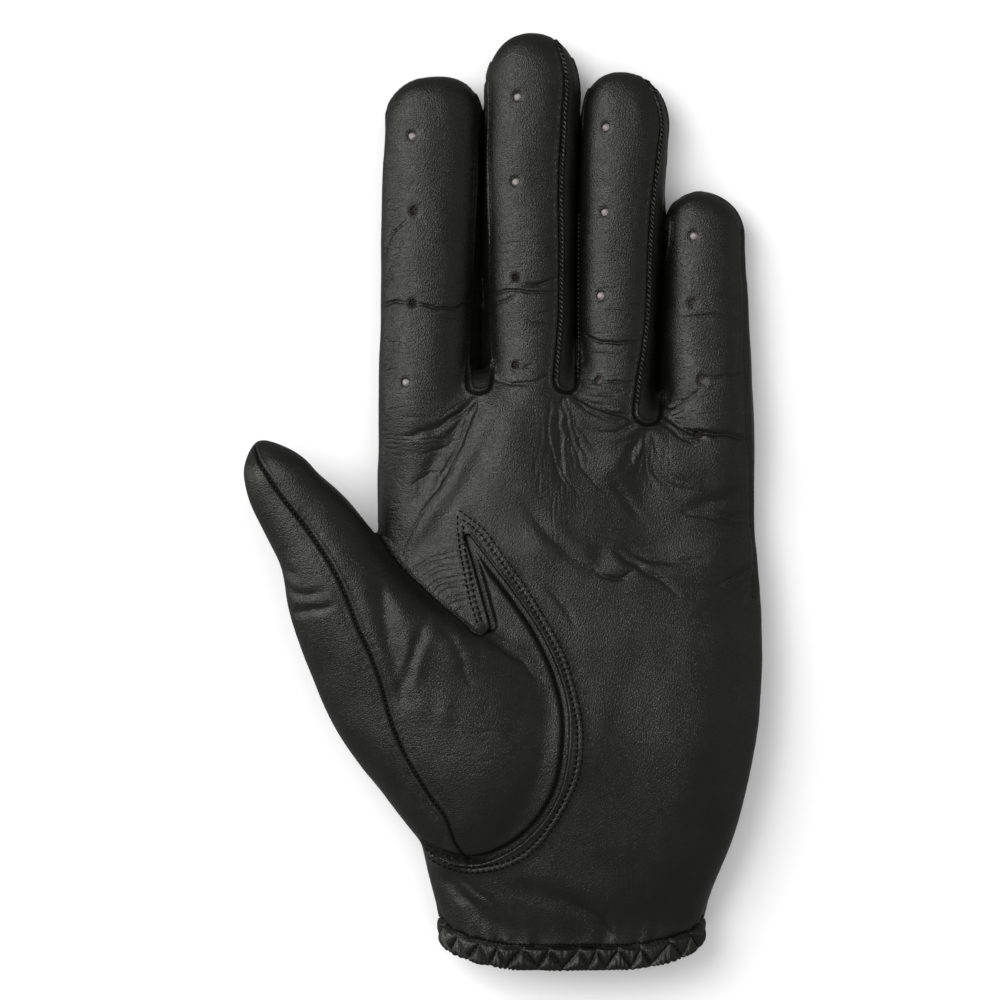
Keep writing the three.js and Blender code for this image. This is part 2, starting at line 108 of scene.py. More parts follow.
# Each row of a section table: y, left, right, low, high. A tip is x, y, z and the power of its curve.
# A hole is x, y and the depth at which the lining lies behind it. The spread is how far a finger is moved
# aside while the tubes are joined.
FINGERS = {
    "index": {
        "tip": (-16, 106.4, 11.2, 2.3),
        "spread": -3,
        "holes": [(-22.5, 90.8, 0.45), (-21.8, 72, 5), (-22.2, 49, 6.5), (-24, 29.3, 0.4)],
        "sections": [
            (4, -28, -10, 1, 20.4),
            (24, -30.8, -8, -1.2, 21.2),
            (45, -30.5, -7.3, -0.7, 19.8),
            (74, -30.3, -5.7, 0.5, 18.2),
            (95, -29.3, -5.2, 2.4, 17.8),
        ],
    },
    "middle": {
        "tip": (7.6, 117.2, 11.6, 2.3),
        "spread": -1,
        "holes": [(3.8, 100.5, 0.45), (3.3, 79.3, 0.7), (3.5, 55.3, 6.5), (3.3, 33.5, 5)],
        "sections": [
            (4, -1.8, 17.6, 0.4, 21.4),
            (24, -2.5, 18.3, -1.2, 21.6),
            (50, -3.3, 18.4, -0.6, 20.2),
            (79, -4.1, 18.9, 0.8, 19),
            (101, -3.9, 19.5, 2.6, 18.6),
        ],
    },
    "ring": {
        "tip": (29.6, 107.4, 11.4, 2.3),
        "spread": 1,
        "holes": [(25.8, 93, 0.5), (25.5, 71.8, 0.6), (24.5, 51, 0.45), (24, 30, 3.6)],
        "sections": [
            (0, 21.2, 37, 0.6, 21),
            (22, 19.9, 37.9, -1.2, 21),
            (42, 19.2, 38.6, -0.7, 19.7),
            (70, 19.4, 40.5, 0.6, 18.5),
            (93, 20.2, 42.1, 2.4, 18),
        ],
    },
    "little": {
        "tip": (49.6, 77.7, 9.8, 2.2),
        "spread": 3,
        "holes": [(47.8, 66, 0.5), (47.5, 49, 4), (50, 30, 3.2), (49.2, 16.4, 6.5)],
        "sections": [
            (-10, 43.4, 61.4, 1, 19.2),
            (12, 41.3, 63.7, -1.2, 20),
            (28, 40.9, 63.2, -0.9, 18.9),
            (45, 40.9, 62.4, -0.3, 17.6),
            (66, 41.5, 61.2, 1.8, 16.6),
        ],
    },
}
SPREAD_FROM, SPREAD_TO = 34, 46

PALM = {
    "sections": [
        (-124, -15.6, 50.6, -1.6, 23.6),
        (-104, -15.6, 50.8, -1.8, 23.8),
        (-98, -17.4, 52.4, -2, 24.9),
        (-84, -20.4, 57.1, -2.2, 26.8),
        (-66, -23.8, 61.2, -2.2, 27.2),
        (-48, -27, 63.6, -2.2, 26.6),
        (-30, -29.6, 65, -2.2, 25.8),
        (-14, -30.9, 64.9, -2.2, 24.8),
        (0, -31.3, 63.8, -2, 23.8),
        (14, -31.1, 63.6, -1.8, 22.4),
    ],
    "end": 18.5,  # length of the rounded end between the fingers
}
KNUCKLE_DROP = {"from": 27, "to": 41, "depth": 9}  # the knuckle line past the ring finger

THUMB = {
    "tip": (-60.3, 15.8, 21.5, 1.4),
    "heel": (-12, -91.5, 18, 2),
    "sections": [
        (-86, -19.4, 2, 7, 26.4),
        (-80, -24.4, 8.6, 4.4, 28.4),
        (-72, -30.6, 13.2, 4.2, 29.6),
        (-62, -38.4, 15.4, 5.2, 30.6),
        (-52, -44, 14.8, 6.2, 31.2),
        (-43, -47.6, 11.4, 7, 31.6),
        (-36, -50.4, 3.4, 7.4, 31.8),
        (-30, -52.3, -8.6, 7.8, 31.8),
        (-24, -53.6, -17.4, 8.2, 31.6),
        (-17, -54.8, -24.4, 8.8, 31),
        (-8, -59.2, -31.6, 10, 30.2),
        (1, -63.2, -39, 11.6, 29.6),
        (7, -64.7, -46, 13.2, 29.2),
    ],
}
THUMB_LEFT_OF = -34  # no finger's spread is taken back there
THUMB_SEAM_HEIGHT = 6  # height of the thumb's seam along the side of the hand

# Seams between pieces, in plan
THUMB_RIGHT = [(-49, 26), (-44.8, 7), (-37.8, 1), (-30.4, -8), (-23.2, -17), (-16.2, -24),
               (-8.4, -30.6)]
THUMB_CROTCH = [(-6.6, -32.6), (-4.8, -33.2), (-3, -31.6)]
TONGUE = [(-2.8, -30.8), (-4.3, -25.4), (-6, -19.2), (-7.3, -14.6), (-9.2, -8.9)]
THUMB_ARC = [
    (-8.2, -8.7), (-3.4, -14.9), (3.6, -24), (9.8, -33.4), (14.2, -43.2), (16.4, -52.6), (16.4, -60.6),
    (14, -72.6), (9.4, -80.2), (2, -86.6), (-6.6, -89.8), (-14.4, -88.6), (-20.4, -85.6), (-30, -80),
]

# Each fork's two seams and its crotch. Low down, the walls beside it meet at a share of the way between the
# seams, as far as the line y = closed.
FORK_SEAMS = {
    "index_middle": {
        "meet": 0.5,
        "closed": 103,
        "near": [(-5.2, 104.5), (-5.5, 98), (-5.8, 91), (-6.2, 81.5), (-6.8, 65.3), (-7.4, 50.3),
                 (-7.9, 42), (-8.4, 33.3), (-8.5, 29.6)],
        "crotch": [(-7.9, 27.6), (-6.5, 26.8), (-4.6, 26.8), (-3.1, 27.6)],
        "far": [(-2.5, 29.6), (-2.3, 33.3), (-2.6, 40.3), (-3, 52.5), (-3.3, 76.3), (-3.5, 92),
                (-3.4, 100), (-3.2, 108)],
    },
    "middle_ring": {
        "meet": 0.86,
        "closed": 101,
        "near": [(10.6, 117.4), (12.9, 115.6), (15, 110.4), (15.9, 105.3), (15.4, 95.5), (14.8, 87),
                 (14.5, 75), (14.6, 58), (14.1, 40), (13.4, 32.6), (13.1, 29.8)],
        "crotch": [(13.6, 27.9), (15.1, 26.9), (17, 26.9), (18.4, 28)],
        "far": [(18.8, 30.4), (19, 36), (19, 50), (19.3, 76), (20, 92), (20.6, 98),
                (21, 104)],
    },
    "ring_little": {
        "meet": 0.8,
        "closed": 76,
        "near": [(33.6, 107.4), (36.4, 104.4), (39.1, 98.4), (39.8, 93.6), (39.1, 87.4), (37.8, 77),
                 (36.9, 65), (36.3, 52), (35.5, 40), (34, 30), (33.2, 23.6)],
        "crotch": [(33.3, 21), (34.7, 19.4), (36.8, 18.8), (38.8, 19.5)],
        "far": [(39.9, 21.6), (40.3, 26), (40.4, 34), (40.6, 46), (41.3, 57), (42.1, 66),
                (42.6, 74)],
    },
}
THUMB_SIDE_SEAM = [(-61.6, 14.5), (-60.4, 10.5), (-58.4, 7), (-55.6, 2.5), (-52.1, -2), (-48.6, -6.3),
                   (-45.4, -10.8), (-42.6, -15), (-39.9, -20), (-37.4, -26), (-35.4, -31.5),
                   (-32.4, -38), (-30.4, -43.5), (-26.9, -55.8), (-24.4, -61.8), (-20.6, -68.5),
                   (-17.1, -74), (-14.1, -78), (-11.4, -85), (-8.1, -90)]
LITTLE_SIDE_SEAM = [(53.4, 76.6), (57.6, 75), (60, 71), (60.7, 62), (60.9, 52.5), (61.4, 35),
                    (61.6, 21), (62.3, 10), (62.8, 0), (63.2, -12), (63, -24)]

# Rows of stitches round the thumb piece
ARC_STITCHES = [
    (-10.7, -2.4), (-4.4, -7.3), (0.1, -13.3), (4.1, -18.8), (8.4, -25.3), (12.1, -31.5), (15.6, -38.5),
    (18.4, -47.5), (20, -56), (20, -61.5), (18.9, -68.8), (16.6, -74.4), (13.1, -80.5), (9.2, -85.6),
    (4.2, -89.5), (-3.4, -92), (-9.6, -92.3), (-15.6, -90.3), (-20.6, -87),
]
TONGUE_STITCHES = [(-6, -30.6), (-7.8, -24.8), (-8.9, -19.5), (-10.3, -12.5), (-10.9, -6.5), (-10.9, -3.2)]
ROW_GAP = 1.35  # between the two rows
STITCH_PITCH = 1.45

STITCH_RINGS, STITCH_SIDES = 5, 6  # rings along a stitch, and points round each of them
PAINTED_GLINT_END = 72  # where the pale stitches that paint glints of light end, towards the fingertip

# The stitches of each row: pitch, length and thickness
STITCHES = {
    "hem": (1.15, 1, 0.34),
    "thumb": (STITCH_PITCH, 1.1, 0.34),
    "thumb_side": (1.2, 0.8, 0.32),
    "hem_row": (1.1, 0.8, 0.34),
    # the pale stitches are a painted highlight, glints of light along a dark seam
    "pale": (1.1, 0.6, 0.34),
    "finger": (1.15, 0.95, 0.46),
}

# Heights and depths of the forms beside the seams
FORK_SEAM = {"panel": 0.2, "ridge": 0.3, "depth": 0.75}
LAP = {"rise": 0.45, "edge": 0.25, "trench": 1.3, "dent": 0.22}
TIP_SEAM = {"rim": 0.4, "lip": 0.18, "depth": 0.55}

HOLE_RADIUS = 1  # of the punched holes
HOLES_ABOVE = 11  # height above which they are cut
LINING = {"half_width": 4.5, "past": 5, "gap": 0.3, "thickness": 0.5}  # of each strip

# The wrist, and the gathered hem beyond it
WRIST = {"side": -104.4, "front": -110.9, "back": -103.4, "middle": 11.5}
HEM = {
    "height": 5.9,
    "thickness": 2.2,
    "proud": 0.5,
    "pitch": 6.1,  # of the zigzag stitches
    "zigzag": (0.1, 0.86),  # their ends, as shares of the height
    "wrinkle": 1.3,  # between the fine wrinkles
    "row": 0.7,  # height of the straight row of stitches above the hem
    "steps": 1100,
    "rows": 26,
    "inner_rows": (0.8, 0.4, -0.25),  # shares of the height. The last one reaches in under the hide.
    "clear": 0.08,  # height of its lowest points
}

# Fans of fine folds: x, y, first and last angle, how many, inner and outer radius, depth, half width
FANS = [
    (-5.8, 26.4, 204, 236, 4, 2, 15, 0.2, 0.42),
    (-5.4, 26.2, 246, 292, 4, 2, 9, 0.16, 0.4),
    (15.6, 26.6, 246, 292, 7, 1.4, 24, 0.2, 0.42),
    (16.6, 27, 322, 350, 4, 2, 17, 0.2, 0.42),
    (35.6, 19.2, 166, 204, 3, 2, 10, 0.2, 0.42),
    (36.4, 18.4, 222, 304, 8, 1.2, 14, 0.2, 0.42),
    (38.6, 19.4, 334, 386, 5, 1.6, 12, 0.2, 0.42),
    (-4.6, -32.6, 214, 262, 4, 2.6, 9, 0.14, 0.8),
    (-16, -91.4, 292, 332, 4, 4, 18, 0.2, 0.9),
    (27.6, -109, 92, 138, 4, 1, 9, 0.2, 0.6),
]

# Patches of fine wrinkles, by the way that they run: x, y, half width, half length, strength
PATCHES = {
    "across": [
        (-28, 40, 4, 60, 1), (-14, 47, 12, 7, 0.8), (-20, 20, 14, 12, 0.6), (6, 60, 14, 11, 0.9),
        (6, 32, 14, 7, 0.8), (28, 46, 12, 14, 0.8), (28, 28, 12, 7, 0.8), (52, 24, 14, 12, 0.8),
        (57, -4, 9, 7, 1), (38, -18, 14, 7, 0.8), (54, -20, 12, 6, 0.6), (-48, -16, 10, 18, 0.4),
        (2, -58, 20, 10, 0.5),
    ],
    "along": [
        (14, 8, 7, 16, 1), (37, 9, 8, 8, 0.9), (-18, 0, 12, 18, 0.4), (20, -99, 40, 8, 0.5),
    ],
}

# Broad hollows and pads of the palm side: x, y, half width, half length, height
WRIST_HOLLOW = (18, -111, 30, 9, -1.3)  # the hem follows it
FORMS = [
    WRIST_HOLLOW, (34, 0, 17, 14, -2.4), (2, 14, 8, 12, 1.3), (19, 14, 5.5, 14, -0.9),
    (-15, 0, 9, 14, -1.4), (20, -60, 9, 13, 1.3), (38, -12, 8, 3.5, -0.9), (50, 8, 9, 7, 0.8),
    (29, 9, 4, 3.5, 0.6), (56, -12, 6, 6, 0.8), (29.5, -16, 2.6, 2.2, 0.45),
    (24.2, -14.6, 2.2, 3.2, -0.5), (54, -34, 7, 7, 0.6), (52, -58, 18, 28, 2.2), (8, -12, 4, 4, 0.4),
    (-14, 4, 11, 14, 0.5), (2, -68, 18, 12, 1.7), (-4, -44, 14, 7, -0.5), (-19.5, -50, 2.6, 4.5, 0.45),
    (-14, -52, 2.6, 4.5, 0.45), (36, 9, 4, 9, -0.6), (-6, 17, 4, 9, -0.5), (-27, -18, 6, 14, -0.7),
    (38, -104, 11, 5, -0.8),
]

# Folds of the palm side: points in plan, depth, half width of the valley. A negative depth is a ridge.
FOLDS = [
    # Index finger and the fold below it
    ([(-29.9, 48.4), (-25.9, 49.5), (-23.4, 49.2)], 0.4, 0.4),
    ([(-20.9, 48.8), (-16.4, 47.7), (-11.4, 47.8), (-7.9, 48.8)], 0.5, 0.4),
    ([(-29.4, 61), (-27.4, 66), (-23.6, 69.6)], 0.3, 0.4),
    ([(-28.8, 56.5), (-26.2, 60.5), (-24.5, 65)], 0.2, 0.4),
    ([(-5.9, 26), (-9.9, 22), (-14.9, 18.5), (-22.9, 15.8)], 0.6, 0.8),
    ([(-8.4, 24), (-11.4, 16.4), (-13.6, 8)], 0.3, 1.2),
    ([(-10.3, 20), (-16.7, 9.6), (-23.1, -4)], 0.35, 1.6),
    ([(0.1, 27), (-8.4, 10), (-16.8, -3), (-25.4, -14)], -0.28, 1.5),
    ([(-5.1, 25.9), (-8.7, 15.4), (-12.9, 7), (-21.3, -5.6), (-25, -13)], 0.28, 0.4),
    ([(-7.7, 24.8), (-10.3, 15.4), (-12.9, 10.1), (-17.1, 2.8)], 0.25, 0.4),
    ([(-10.3, 15.4), (-15.6, 12.6), (-20.2, 11.4)], 0.18, 0.4),
    ([(-12.9, 7), (-17.6, 6.6), (-22.4, 3.4)], 0.16, 0.4),
    # Middle finger
    ([(-2.9, 51.5), (2.1, 52.2), (10.1, 51.5), (13.4, 51.9)], 0.45, 0.4),
    ([(5.4, 53.2), (9.6, 53.8), (13.6, 54.7)], 0.55, 0.45),
    ([(-2.9, 48.5), (1.1, 49.5), (4.1, 51)], 0.3, 0.4),
    ([(6.1, 43.9), (13.1, 43.4)], 0.25, 0.4),
    ([(9, 46.2), (12.6, 46.6)], 0.2, 0.4),
    ([(4.6, 33), (7.8, 33.5)], 0.3, 0.4),
    ([(-1.9, 30), (2.1, 29), (8.1, 29.6), (12.6, 31)], 0.35, 0.5),
    # Ring finger, and the valley and folds from the gap beside it
    ([(21.1, 41), (24.1, 39.5), (29.1, 39), (35, 39.7)], 0.55, 0.42),
    ([(21.4, 36.6), (28, 36.2)], 0.2, 0.4),
    ([(24.9, 29.4), (33.4, 29.4)], 0.3, 0.4),
    ([(16.6, 27), (21.1, 24.5), (27.1, 22), (31.1, 20.8), (33.4, 20)], 0.55, 0.6),
    ([(17.4, 25.4), (23.1, 21.6), (31.6, 18.4)], 0.35, 0.6),
    ([(21.1, 17.8), (27.1, 16.8), (32.1, 18.4)], 0.25, 0.6),
    ([(14.2, 25), (13.8, 14), (14.6, 4)], 0.25, 1),
    ([(12.3, 24.8), (11.7, 17.5), (13.3, 9.1), (16.5, 2.8)], 0.3, 0.4),
    ([(14.9, 24.8), (17.5, 15.4), (19.6, 9.1), (25.9, 1.7)], 0.28, 0.4),
    ([(13.4, 24.6), (14.8, 17), (15.2, 8), (19.4, 0.4)], 0.22, 0.36),
    # Little finger and the fan below its gap
    ([(40.4, 21.2), (44.1, 18.5), (47.1, 17), (52.1, 16.4), (57.1, 16), (62.4, 15.2)], 0.8, 0.6),
    ([(40.6, 19.2), (45, 15.4), (50.6, 14.6)], 0.35, 0.6),
    ([(41.1, 23), (47.1, 25.5), (49.3, 27.4)], 0.3, 0.45),
    ([(50.6, 30.2), (55.1, 31), (61, 32)], 0.3, 0.45),
    ([(44, 45.4), (54, 46), (60.4, 45.4)], 0.25, 0.45),
    ([(35.4, 17.6), (33.1, 13.6), (30.2, 8)], 0.45, 1),
    ([(36.4, 17.4), (37, 11), (39.4, 6), (43, 3.2), (48, 2.4)], 0.4, 0.9),
    ([(37.6, 17.2), (39, 10.6), (42.6, 5.6), (47.4, 4.2)], 0.3, 0.8),
    ([(36, 17.2), (35.8, 11), (37.4, 4.4)], 0.3, 0.8),
    # Creases of the palm
    ([(62.6, 3), (56, 0.2), (50, -1.4), (45, -3.2)], 0.45, 1.6),
    ([(45.6, -3), (51, -4.4), (57, -5.6), (64, -6.8)], 0.35, 0.5),
    ([(54, -2.6), (58.4, -4), (62.6, -2.8)], 0.3, 0.5),
    ([(28.4, -12.8), (33, -15.8), (38, -19), (43.6, -23)], 0.5, 0.8),
    ([(30.4, -12), (37, -14.8), (44, -15.2), (50, -14.8)], 0.35, 0.9),
    ([(23.2, -17.2), (26, -19.4), (30, -19.2), (33, -17.6)], 0.55, 0.5),
    ([(52, -21.5), (56, -20), (60, -17.4), (64.4, -14.4)], 0.35, 0.5),
    ([(49, -28), (56, -24), (62, -20), (64.8, -17.4)], 0.3, 1.2),
    ([(5.4, -0.4), (11, -7.6), (17, -13.4), (22.4, -17.4)], 0.45, 1.3),
    ([(8.4, -19.6), (13.6, -23.8), (18.4, -31)], 0.3, 0.8),
    ([(27, 6), (30.6, 1), (34, -3.6)], 0.3, 1),
    # Ball of the thumb
    ([(-3, -34.4), (3, -38), (9, -44)], 0.35, 0.8),
    ([(-30.5, -18), (-28.4, -30), (-26.2, -40), (-24.4, -49.5)], 0.75, 2),
    ([(-18.6, -30), (-21.6, -38), (-25, -48.5)], 0.4, 1.2),
    ([(-14.2, -31), (-10.6, -37.5), (-8, -44.5)], 0.3, 1.2),
    # Outer side of the thumb
    ([(-51.8, -27.6), (-46, -27.2), (-41.8, -26)], 0.45, 1),
    ([(-54.4, -16.2), (-51, -18.6)], 0.35, 0.9),
    ([(-53.8, -21.6), (-49, -23.4), (-44, -22.6)], 0.3, 1),
    # Wrist
    ([(-15.4, -92.5), (-10, -98), (-4, -104), (1.5, -108.4)], 0.5, 2),
    ([(-10, -93.4), (-4, -98.4), (0, -103.6), (3.4, -109)], 0.3, 1.6),
    ([(-16, -95), (-10, -101.5), (-5, -106.5)], -0.2, 1.8),
    ([(2, -96), (15, -99.4), (22, -102), (27, -107)], 0.5, 2.4),
    ([(18, -100.5), (24, -104), (27.4, -108.4)], 0.4, 0.9),
]

# Fine wrinkles between the thumb crotch and its tongue, at shares of the way between them
FLAP = {
    "places": (0.02, 0.1, 0.21, 0.28, 0.4, 0.5, 0.57, 0.7, 0.79, 0.92),
    "depth": 0.17,
    "width": 0.36,
}

LOOKS = {
    "leather": (0.0042, 0.0042, 0.0039),
    "thread": (0.0012, 0.0012, 0.0012),
    # painted highlight: a pale thread colour that stands for glints of light along the ring finger's dark
    # seam
    "painted_glint_thread": (0.05, 0.05, 0.05),
    "lining": (0.42, 0.38, 0.36),
    "floor": (0.92, 0.92, 0.92),
}

# Area lights: place, target, size, power, and whether they show as a reflection
LIGHTS = {
    "key": ((-1.05, 0.7, 1.72), (0, 0, 0.01), (1.3, 1.6), 33, True),
    "side": ((-1.4, 0.1, 0.3), (0, 0, 0.02), (0.5, 1.8), 8, True),
    "fill": ((1.6, 0.2, 0.6), (0, 0, 0.01), (0.9, 1.4), 1.5, True),
    "overhead": ((0.1, 0, 1.6), (0, 0, 0.01), (2.2, 2.2), 20, False),
}


# Curves and section tables


def smooth_table(rows, heights):
    """The columns of a section table at the given heights, on smooth curves through its rows."""
    rows = np.array(rows, float)
    y, values = rows[:, 0], rows[:, 1:]
    step = np.diff(y)[:, None]
    slope = np.diff(values, axis=0) / step
    inner = (slope[:-1] * step[1:] + slope[1:] * step[:-1]) / (step[1:] + step[:-1])
    tangent = np.vstack([slope[:1], inner, slope[-1:]])
    i = np.clip(np.searchsorted(y, heights, side="right") - 1, 0, len(y) - 2)
    h = step[i]
    t = (heights - y[i])[:, None] / h
    return (
        (2 * t**3 - 3 * t**2 + 1) * values[i]
        + (t**3 - 2 * t**2 + t) * h * tangent[i]
        + (3 * t**2 - 2 * t**3) * values[i + 1]
        + (t**3 - t**2) * h * tangent[i + 1]
    )


def lengths_along(line):
    """How far along a line each of its points lies."""
    return np.concatenate([[0], np.cumsum(np.linalg.norm(np.diff(line, axis=0), axis=1))])


def place_on(line, along, at):
    """The places on a line at the given lengths along it."""
    return np.stack([np.interp(at, along, column) for column in line.T], -1)


def smooth_line(points):
    """A smooth curve through points, as many close points."""
    points = np.array(points, float)
    along = lengths_along(points)
    fewest = min(3, len(points))
    at = np.linspace(0, along[-1], max(fewest, int(along[-1] / LINE_STEP)))
    if len(points) == 2:
        return place_on(points, along, at)
    return smooth_table(np.column_stack([along, points]), at)


def shifted(line, distance):
    """A line in plan moved sideways, to the left of its direction."""
    way = np.gradient(line, axis=0)
    way /= np.linalg.norm(way, axis=1, keepdims=True)
    return line + distance * np.column_stack([-way[:, 1], way[:, 0]])


def ease(start, end, value):
    """0 before start, 1 after end, and smooth between them."""
    t = np.clip((value - start) / (end - start), 0, 1)
    return t * t * (3 - 2 * t)


def bell(value, width):
    """1 at 0, falling smoothly to 0 on both sides."""
    return np.exp(-((value / width) ** 2))


def boxy(value):
    """A sine or cosine bent so that it draws a rounded rectangle instead of an ellipse."""
    return np.sign(value) * np.abs(value) ** (2 / CORNER)


def waves(points, size, seed):
    """Soft irregular waves about a size apart, between about -1 and 1."""
    random = np.random.default_rng(seed)
    total = np.zeros(len(points))
    for _ in range(7):
        way = random.normal(size=3)
        way *= 2 * np.pi / size / np.linalg.norm(way) * random.uniform(0.7, 1.4)
        total += np.sin(points @ way + random.uniform(0, 6.3))
    return total / 4


def triangles(a, b, c, d):
    """The two triangles of each four-cornered face, given its corners in order."""
    return np.concatenate([np.stack([a, b, c], -1).reshape(-1, 3), np.stack([a, c, d], -1).reshape(-1, 3)])


def shell_of(sections, sides=72):
    """A closed skin over cross-sections, as points and triangles."""
    angle = 2 * np.pi * (np.arange(sides) + 0.5) / sides
    y, left, right, low, high = (column[:, None] for column in np.array(sections).T)
    x = (left + right) / 2 + (right - left) / 2 * boxy(np.cos(angle))
    z = (low + high) / 2 + (high - low) / 2 * boxy(np.sin(angle))
    rings = np.stack([x, np.broadcast_to(y, x.shape), z], axis=-1)
    here = np.arange(len(rings) * sides).reshape(-1, sides)
    after = np.roll(here, -1, axis=1)
    centre = np.full(sides, here.size)
    faces = [
        triangles(here[:-1], after[:-1], after[1:], here[1:]),
        np.stack([centre, after[0], here[0]], -1),
        np.stack([centre + 1, here[-1], after[-1]], -1),
    ]
    return np.vstack([rings.reshape(-1, 3), rings[0].mean(axis=0), rings[-1].mean(axis=0)]), np.vstack(faces)


def rows_of(part):
    """The sections of a tube, with many filled in between those of its table."""
    rows = part["sections"]
    first_y, last_y = rows[0][0], rows[-1][0]
    heights = np.linspace(first_y, last_y, int((last_y - first_y) / SECTION_STEP) + 2)
    return np.column_stack([heights, smooth_table(rows, heights)])


def rounding(end):
    """Shares of the way to the end of a rounding, closer together towards it."""
    return np.sin(np.linspace(0, end, ROUND_STEPS + 1)[1:] * np.pi / 2)


def cap(row, tip):
    """The sections that round off a tube from its last row to its tip."""
    y, left, right, low, high = row
    x_tip, y_tip, z_tip, power = tip
    s = rounding(0.985)
    share = (1 - s**power) ** (1 / power)
    x = (left + right) / 2 * (1 - s**2) + x_tip * s**2
    z = (low + high) / 2 * (1 - s**2) + z_tip * s**2
    half, tall = (right - left) / 2 * share, (high - low) / 2 * share
    return np.column_stack([y + (y_tip - y) * s, x - half, x + half, z - tall, z + tall])


def finger_shell(finger):
    """A finger's tube, moved away from its neighbours so that they don't join."""
    sections = np.vstack([rows_of(finger), cap(finger["sections"][-1], finger["tip"])])
    points, faces = shell_of(sections)
    points[:, 0] += finger["spread"] * ease(SPREAD_FROM, SPREAD_TO, points[:, 1])
    return points, faces


def thumb_shell():
    """The thumb's tube, closed at its tip and at the heel of the hand."""
    heel = cap(THUMB["sections"][0], THUMB["heel"])[::-1]
    tip = cap(THUMB["sections"][-1], THUMB["tip"])
    return shell_of(np.vstack([heel, rows_of(THUMB), tip]))


def palm_shell():
    """The palm's tube, with a rounded end that drops towards the little finger."""
    first_y, last = PALM["sections"][0][0], PALM["sections"][-1]
    y, left, right, low, high = last
    s = rounding(0.96)
    tall = (high - low) / 2 * (1 - s**CORNER) ** (1 / CORNER)
    middle = (low + high) / 2
    end = np.column_stack([y + PALM["end"] * s, 0 * s + left, 0 * s + right, middle - tall, middle + tall])
    points, faces = shell_of(np.vstack([rows_of(PALM), end]), sides=200)
    drop = KNUCKLE_DROP["depth"] * ease(KNUCKLE_DROP["from"], KNUCKLE_DROP["to"], points[:, 0])
    points[:, 1] -= drop * ease(first_y, y, points[:, 1])
    return points, faces


# Meshes as arrays


def mesh_of(name, points, faces, scale=1.0):
    """A mesh from points and triangles."""
    mesh = bpy.data.meshes.new(name)
    points = np.ascontiguousarray(points * scale, dtype=np.float32)
    faces = np.ascontiguousarray(faces, dtype=np.int32)
    mesh.vertices.add(len(points))
    mesh.vertices.foreach_set("co", points.ravel())
    mesh.loops.add(faces.size)
    mesh.loops.foreach_set("vertex_index", faces.ravel())
    mesh.polygons.add(len(faces))
    mesh.polygons.foreach_set("loop_start", np.arange(0, faces.size, faces.shape[1], dtype=np.int32))
    mesh.update(calc_edges=True)
    mesh.validate()
    return mesh


def linked(name, data):
    """A new object in the scene."""
    body = bpy.data.objects.new(name, data)
    bpy.context.collection.objects.link(body)
    return body


def taken(body):
    """The points and triangles of an object with its modifiers. The object is removed."""
    solid = body.evaluated_get(bpy.context.evaluated_depsgraph_get())
    mesh = solid.to_mesh()
    mesh.calc_loop_triangles()
    points = np.empty(len(mesh.vertices) * 3, dtype=np.float32)
    mesh.vertices.foreach_get("co", points)
    faces = np.empty(len(mesh.loop_triangles) * 3, dtype=np.int32)
    mesh.loop_triangles.foreach_get("vertices", faces)
    solid.to_mesh_clear()
    bpy.data.objects.remove(body)
    return points.reshape(-1, 3).astype(float), faces.reshape(-1, 3)


def joined(parts):
    """Several meshes as one."""
    offsets = np.cumsum([0] + [len(points) for points, _ in parts[:-1]])
    faces = [faces + offset for (_, faces), offset in zip(parts, offsets)]
    return np.vstack([points for points, _ in parts]), np.vstack(faces)


def voxel_union(shells):
    """One even skin round several closed shells."""
    body = linked("union", mesh_of("union", *joined(shells)))
    remesh = body.modifiers.new("remesh", "REMESH")
    remesh.mode = "VOXEL"
    remesh.voxel_size = VOXEL
    return taken(body)


def edges_of(faces):
    """Each triangle's three edges as numbers in a list of unique edges."""
    pairs = np.sort(faces[:, [0, 1, 1, 2, 2, 0]].reshape(-1, 2), axis=1).astype(np.int64)
    keys, numbers = np.unique(pairs[:, 0] * (faces.max() + 1) + pairs[:, 1], return_inverse=True)
    edges = np.column_stack(np.divmod(keys, faces.max() + 1))
    return edges, numbers.reshape(-1, 3)


def relax(points, faces, rounds):
    """Move each point half the way to the mean of its neighbours, over and over."""
    edges, _ = edges_of(faces)
    count = len(points)
    degree = np.maximum(np.bincount(edges.ravel(), minlength=count), 1)[:, None]
    for _ in range(rounds):
        mean = np.empty_like(points)
        for axis in range(3):
            mean[:, axis] = np.bincount(edges[:, 0], points[edges[:, 1], axis], count)
            mean[:, axis] += np.bincount(edges[:, 1], points[edges[:, 0], axis], count)
        points = points + 0.5 * (mean / degree - points)
    return points


def normals_of(points, faces):
    """The normal of the skin at each point."""
    a, b, c = (points[faces[:, k]] for k in range(3))
    across = np.cross(b - a, c - a)
    total = np.zeros_like(points)
    for corner in range(3):
        for axis in range(3):
            total[:, axis] += np.bincount(faces[:, corner], across[:, axis], len(points))
    return total / np.maximum(np.linalg.norm(total, axis=1, keepdims=True), 1e-12)


def split_edges(points, faces, edges, numbers, marked, share):
    """Put a new point on each marked edge and divide the triangles that meet it."""
    fresh = np.full(len(edges), -1)
    fresh[marked] = len(points) + np.arange(marked.sum())
    a, b = points[edges[marked, 0]], points[edges[marked, 1]]
    points = np.vstack([points, a + (b - a) * share[marked, None]])
    new = fresh[numbers]
    count = (new >= 0).sum(axis=1)
    parts = [faces[count == 0]]
    for kind, corners in DIVISIONS.items():
        face, mid = faces[count == kind], new[count == kind]
        turn = np.zeros(len(face), int)
        if kind == 1:
            turn = np.argmax(mid >= 0, axis=1)
        elif kind == 2:
            turn = (np.argmax(mid < 0, axis=1) + 1) % 3
        order = (turn[:, None] + np.arange(3)) % 3
        ends = np.hstack([np.take_along_axis(face, order, 1), np.take_along_axis(mid, order, 1)])
        parts += [ends[:, corner] for corner in corners]
    return points, np.vstack(parts)


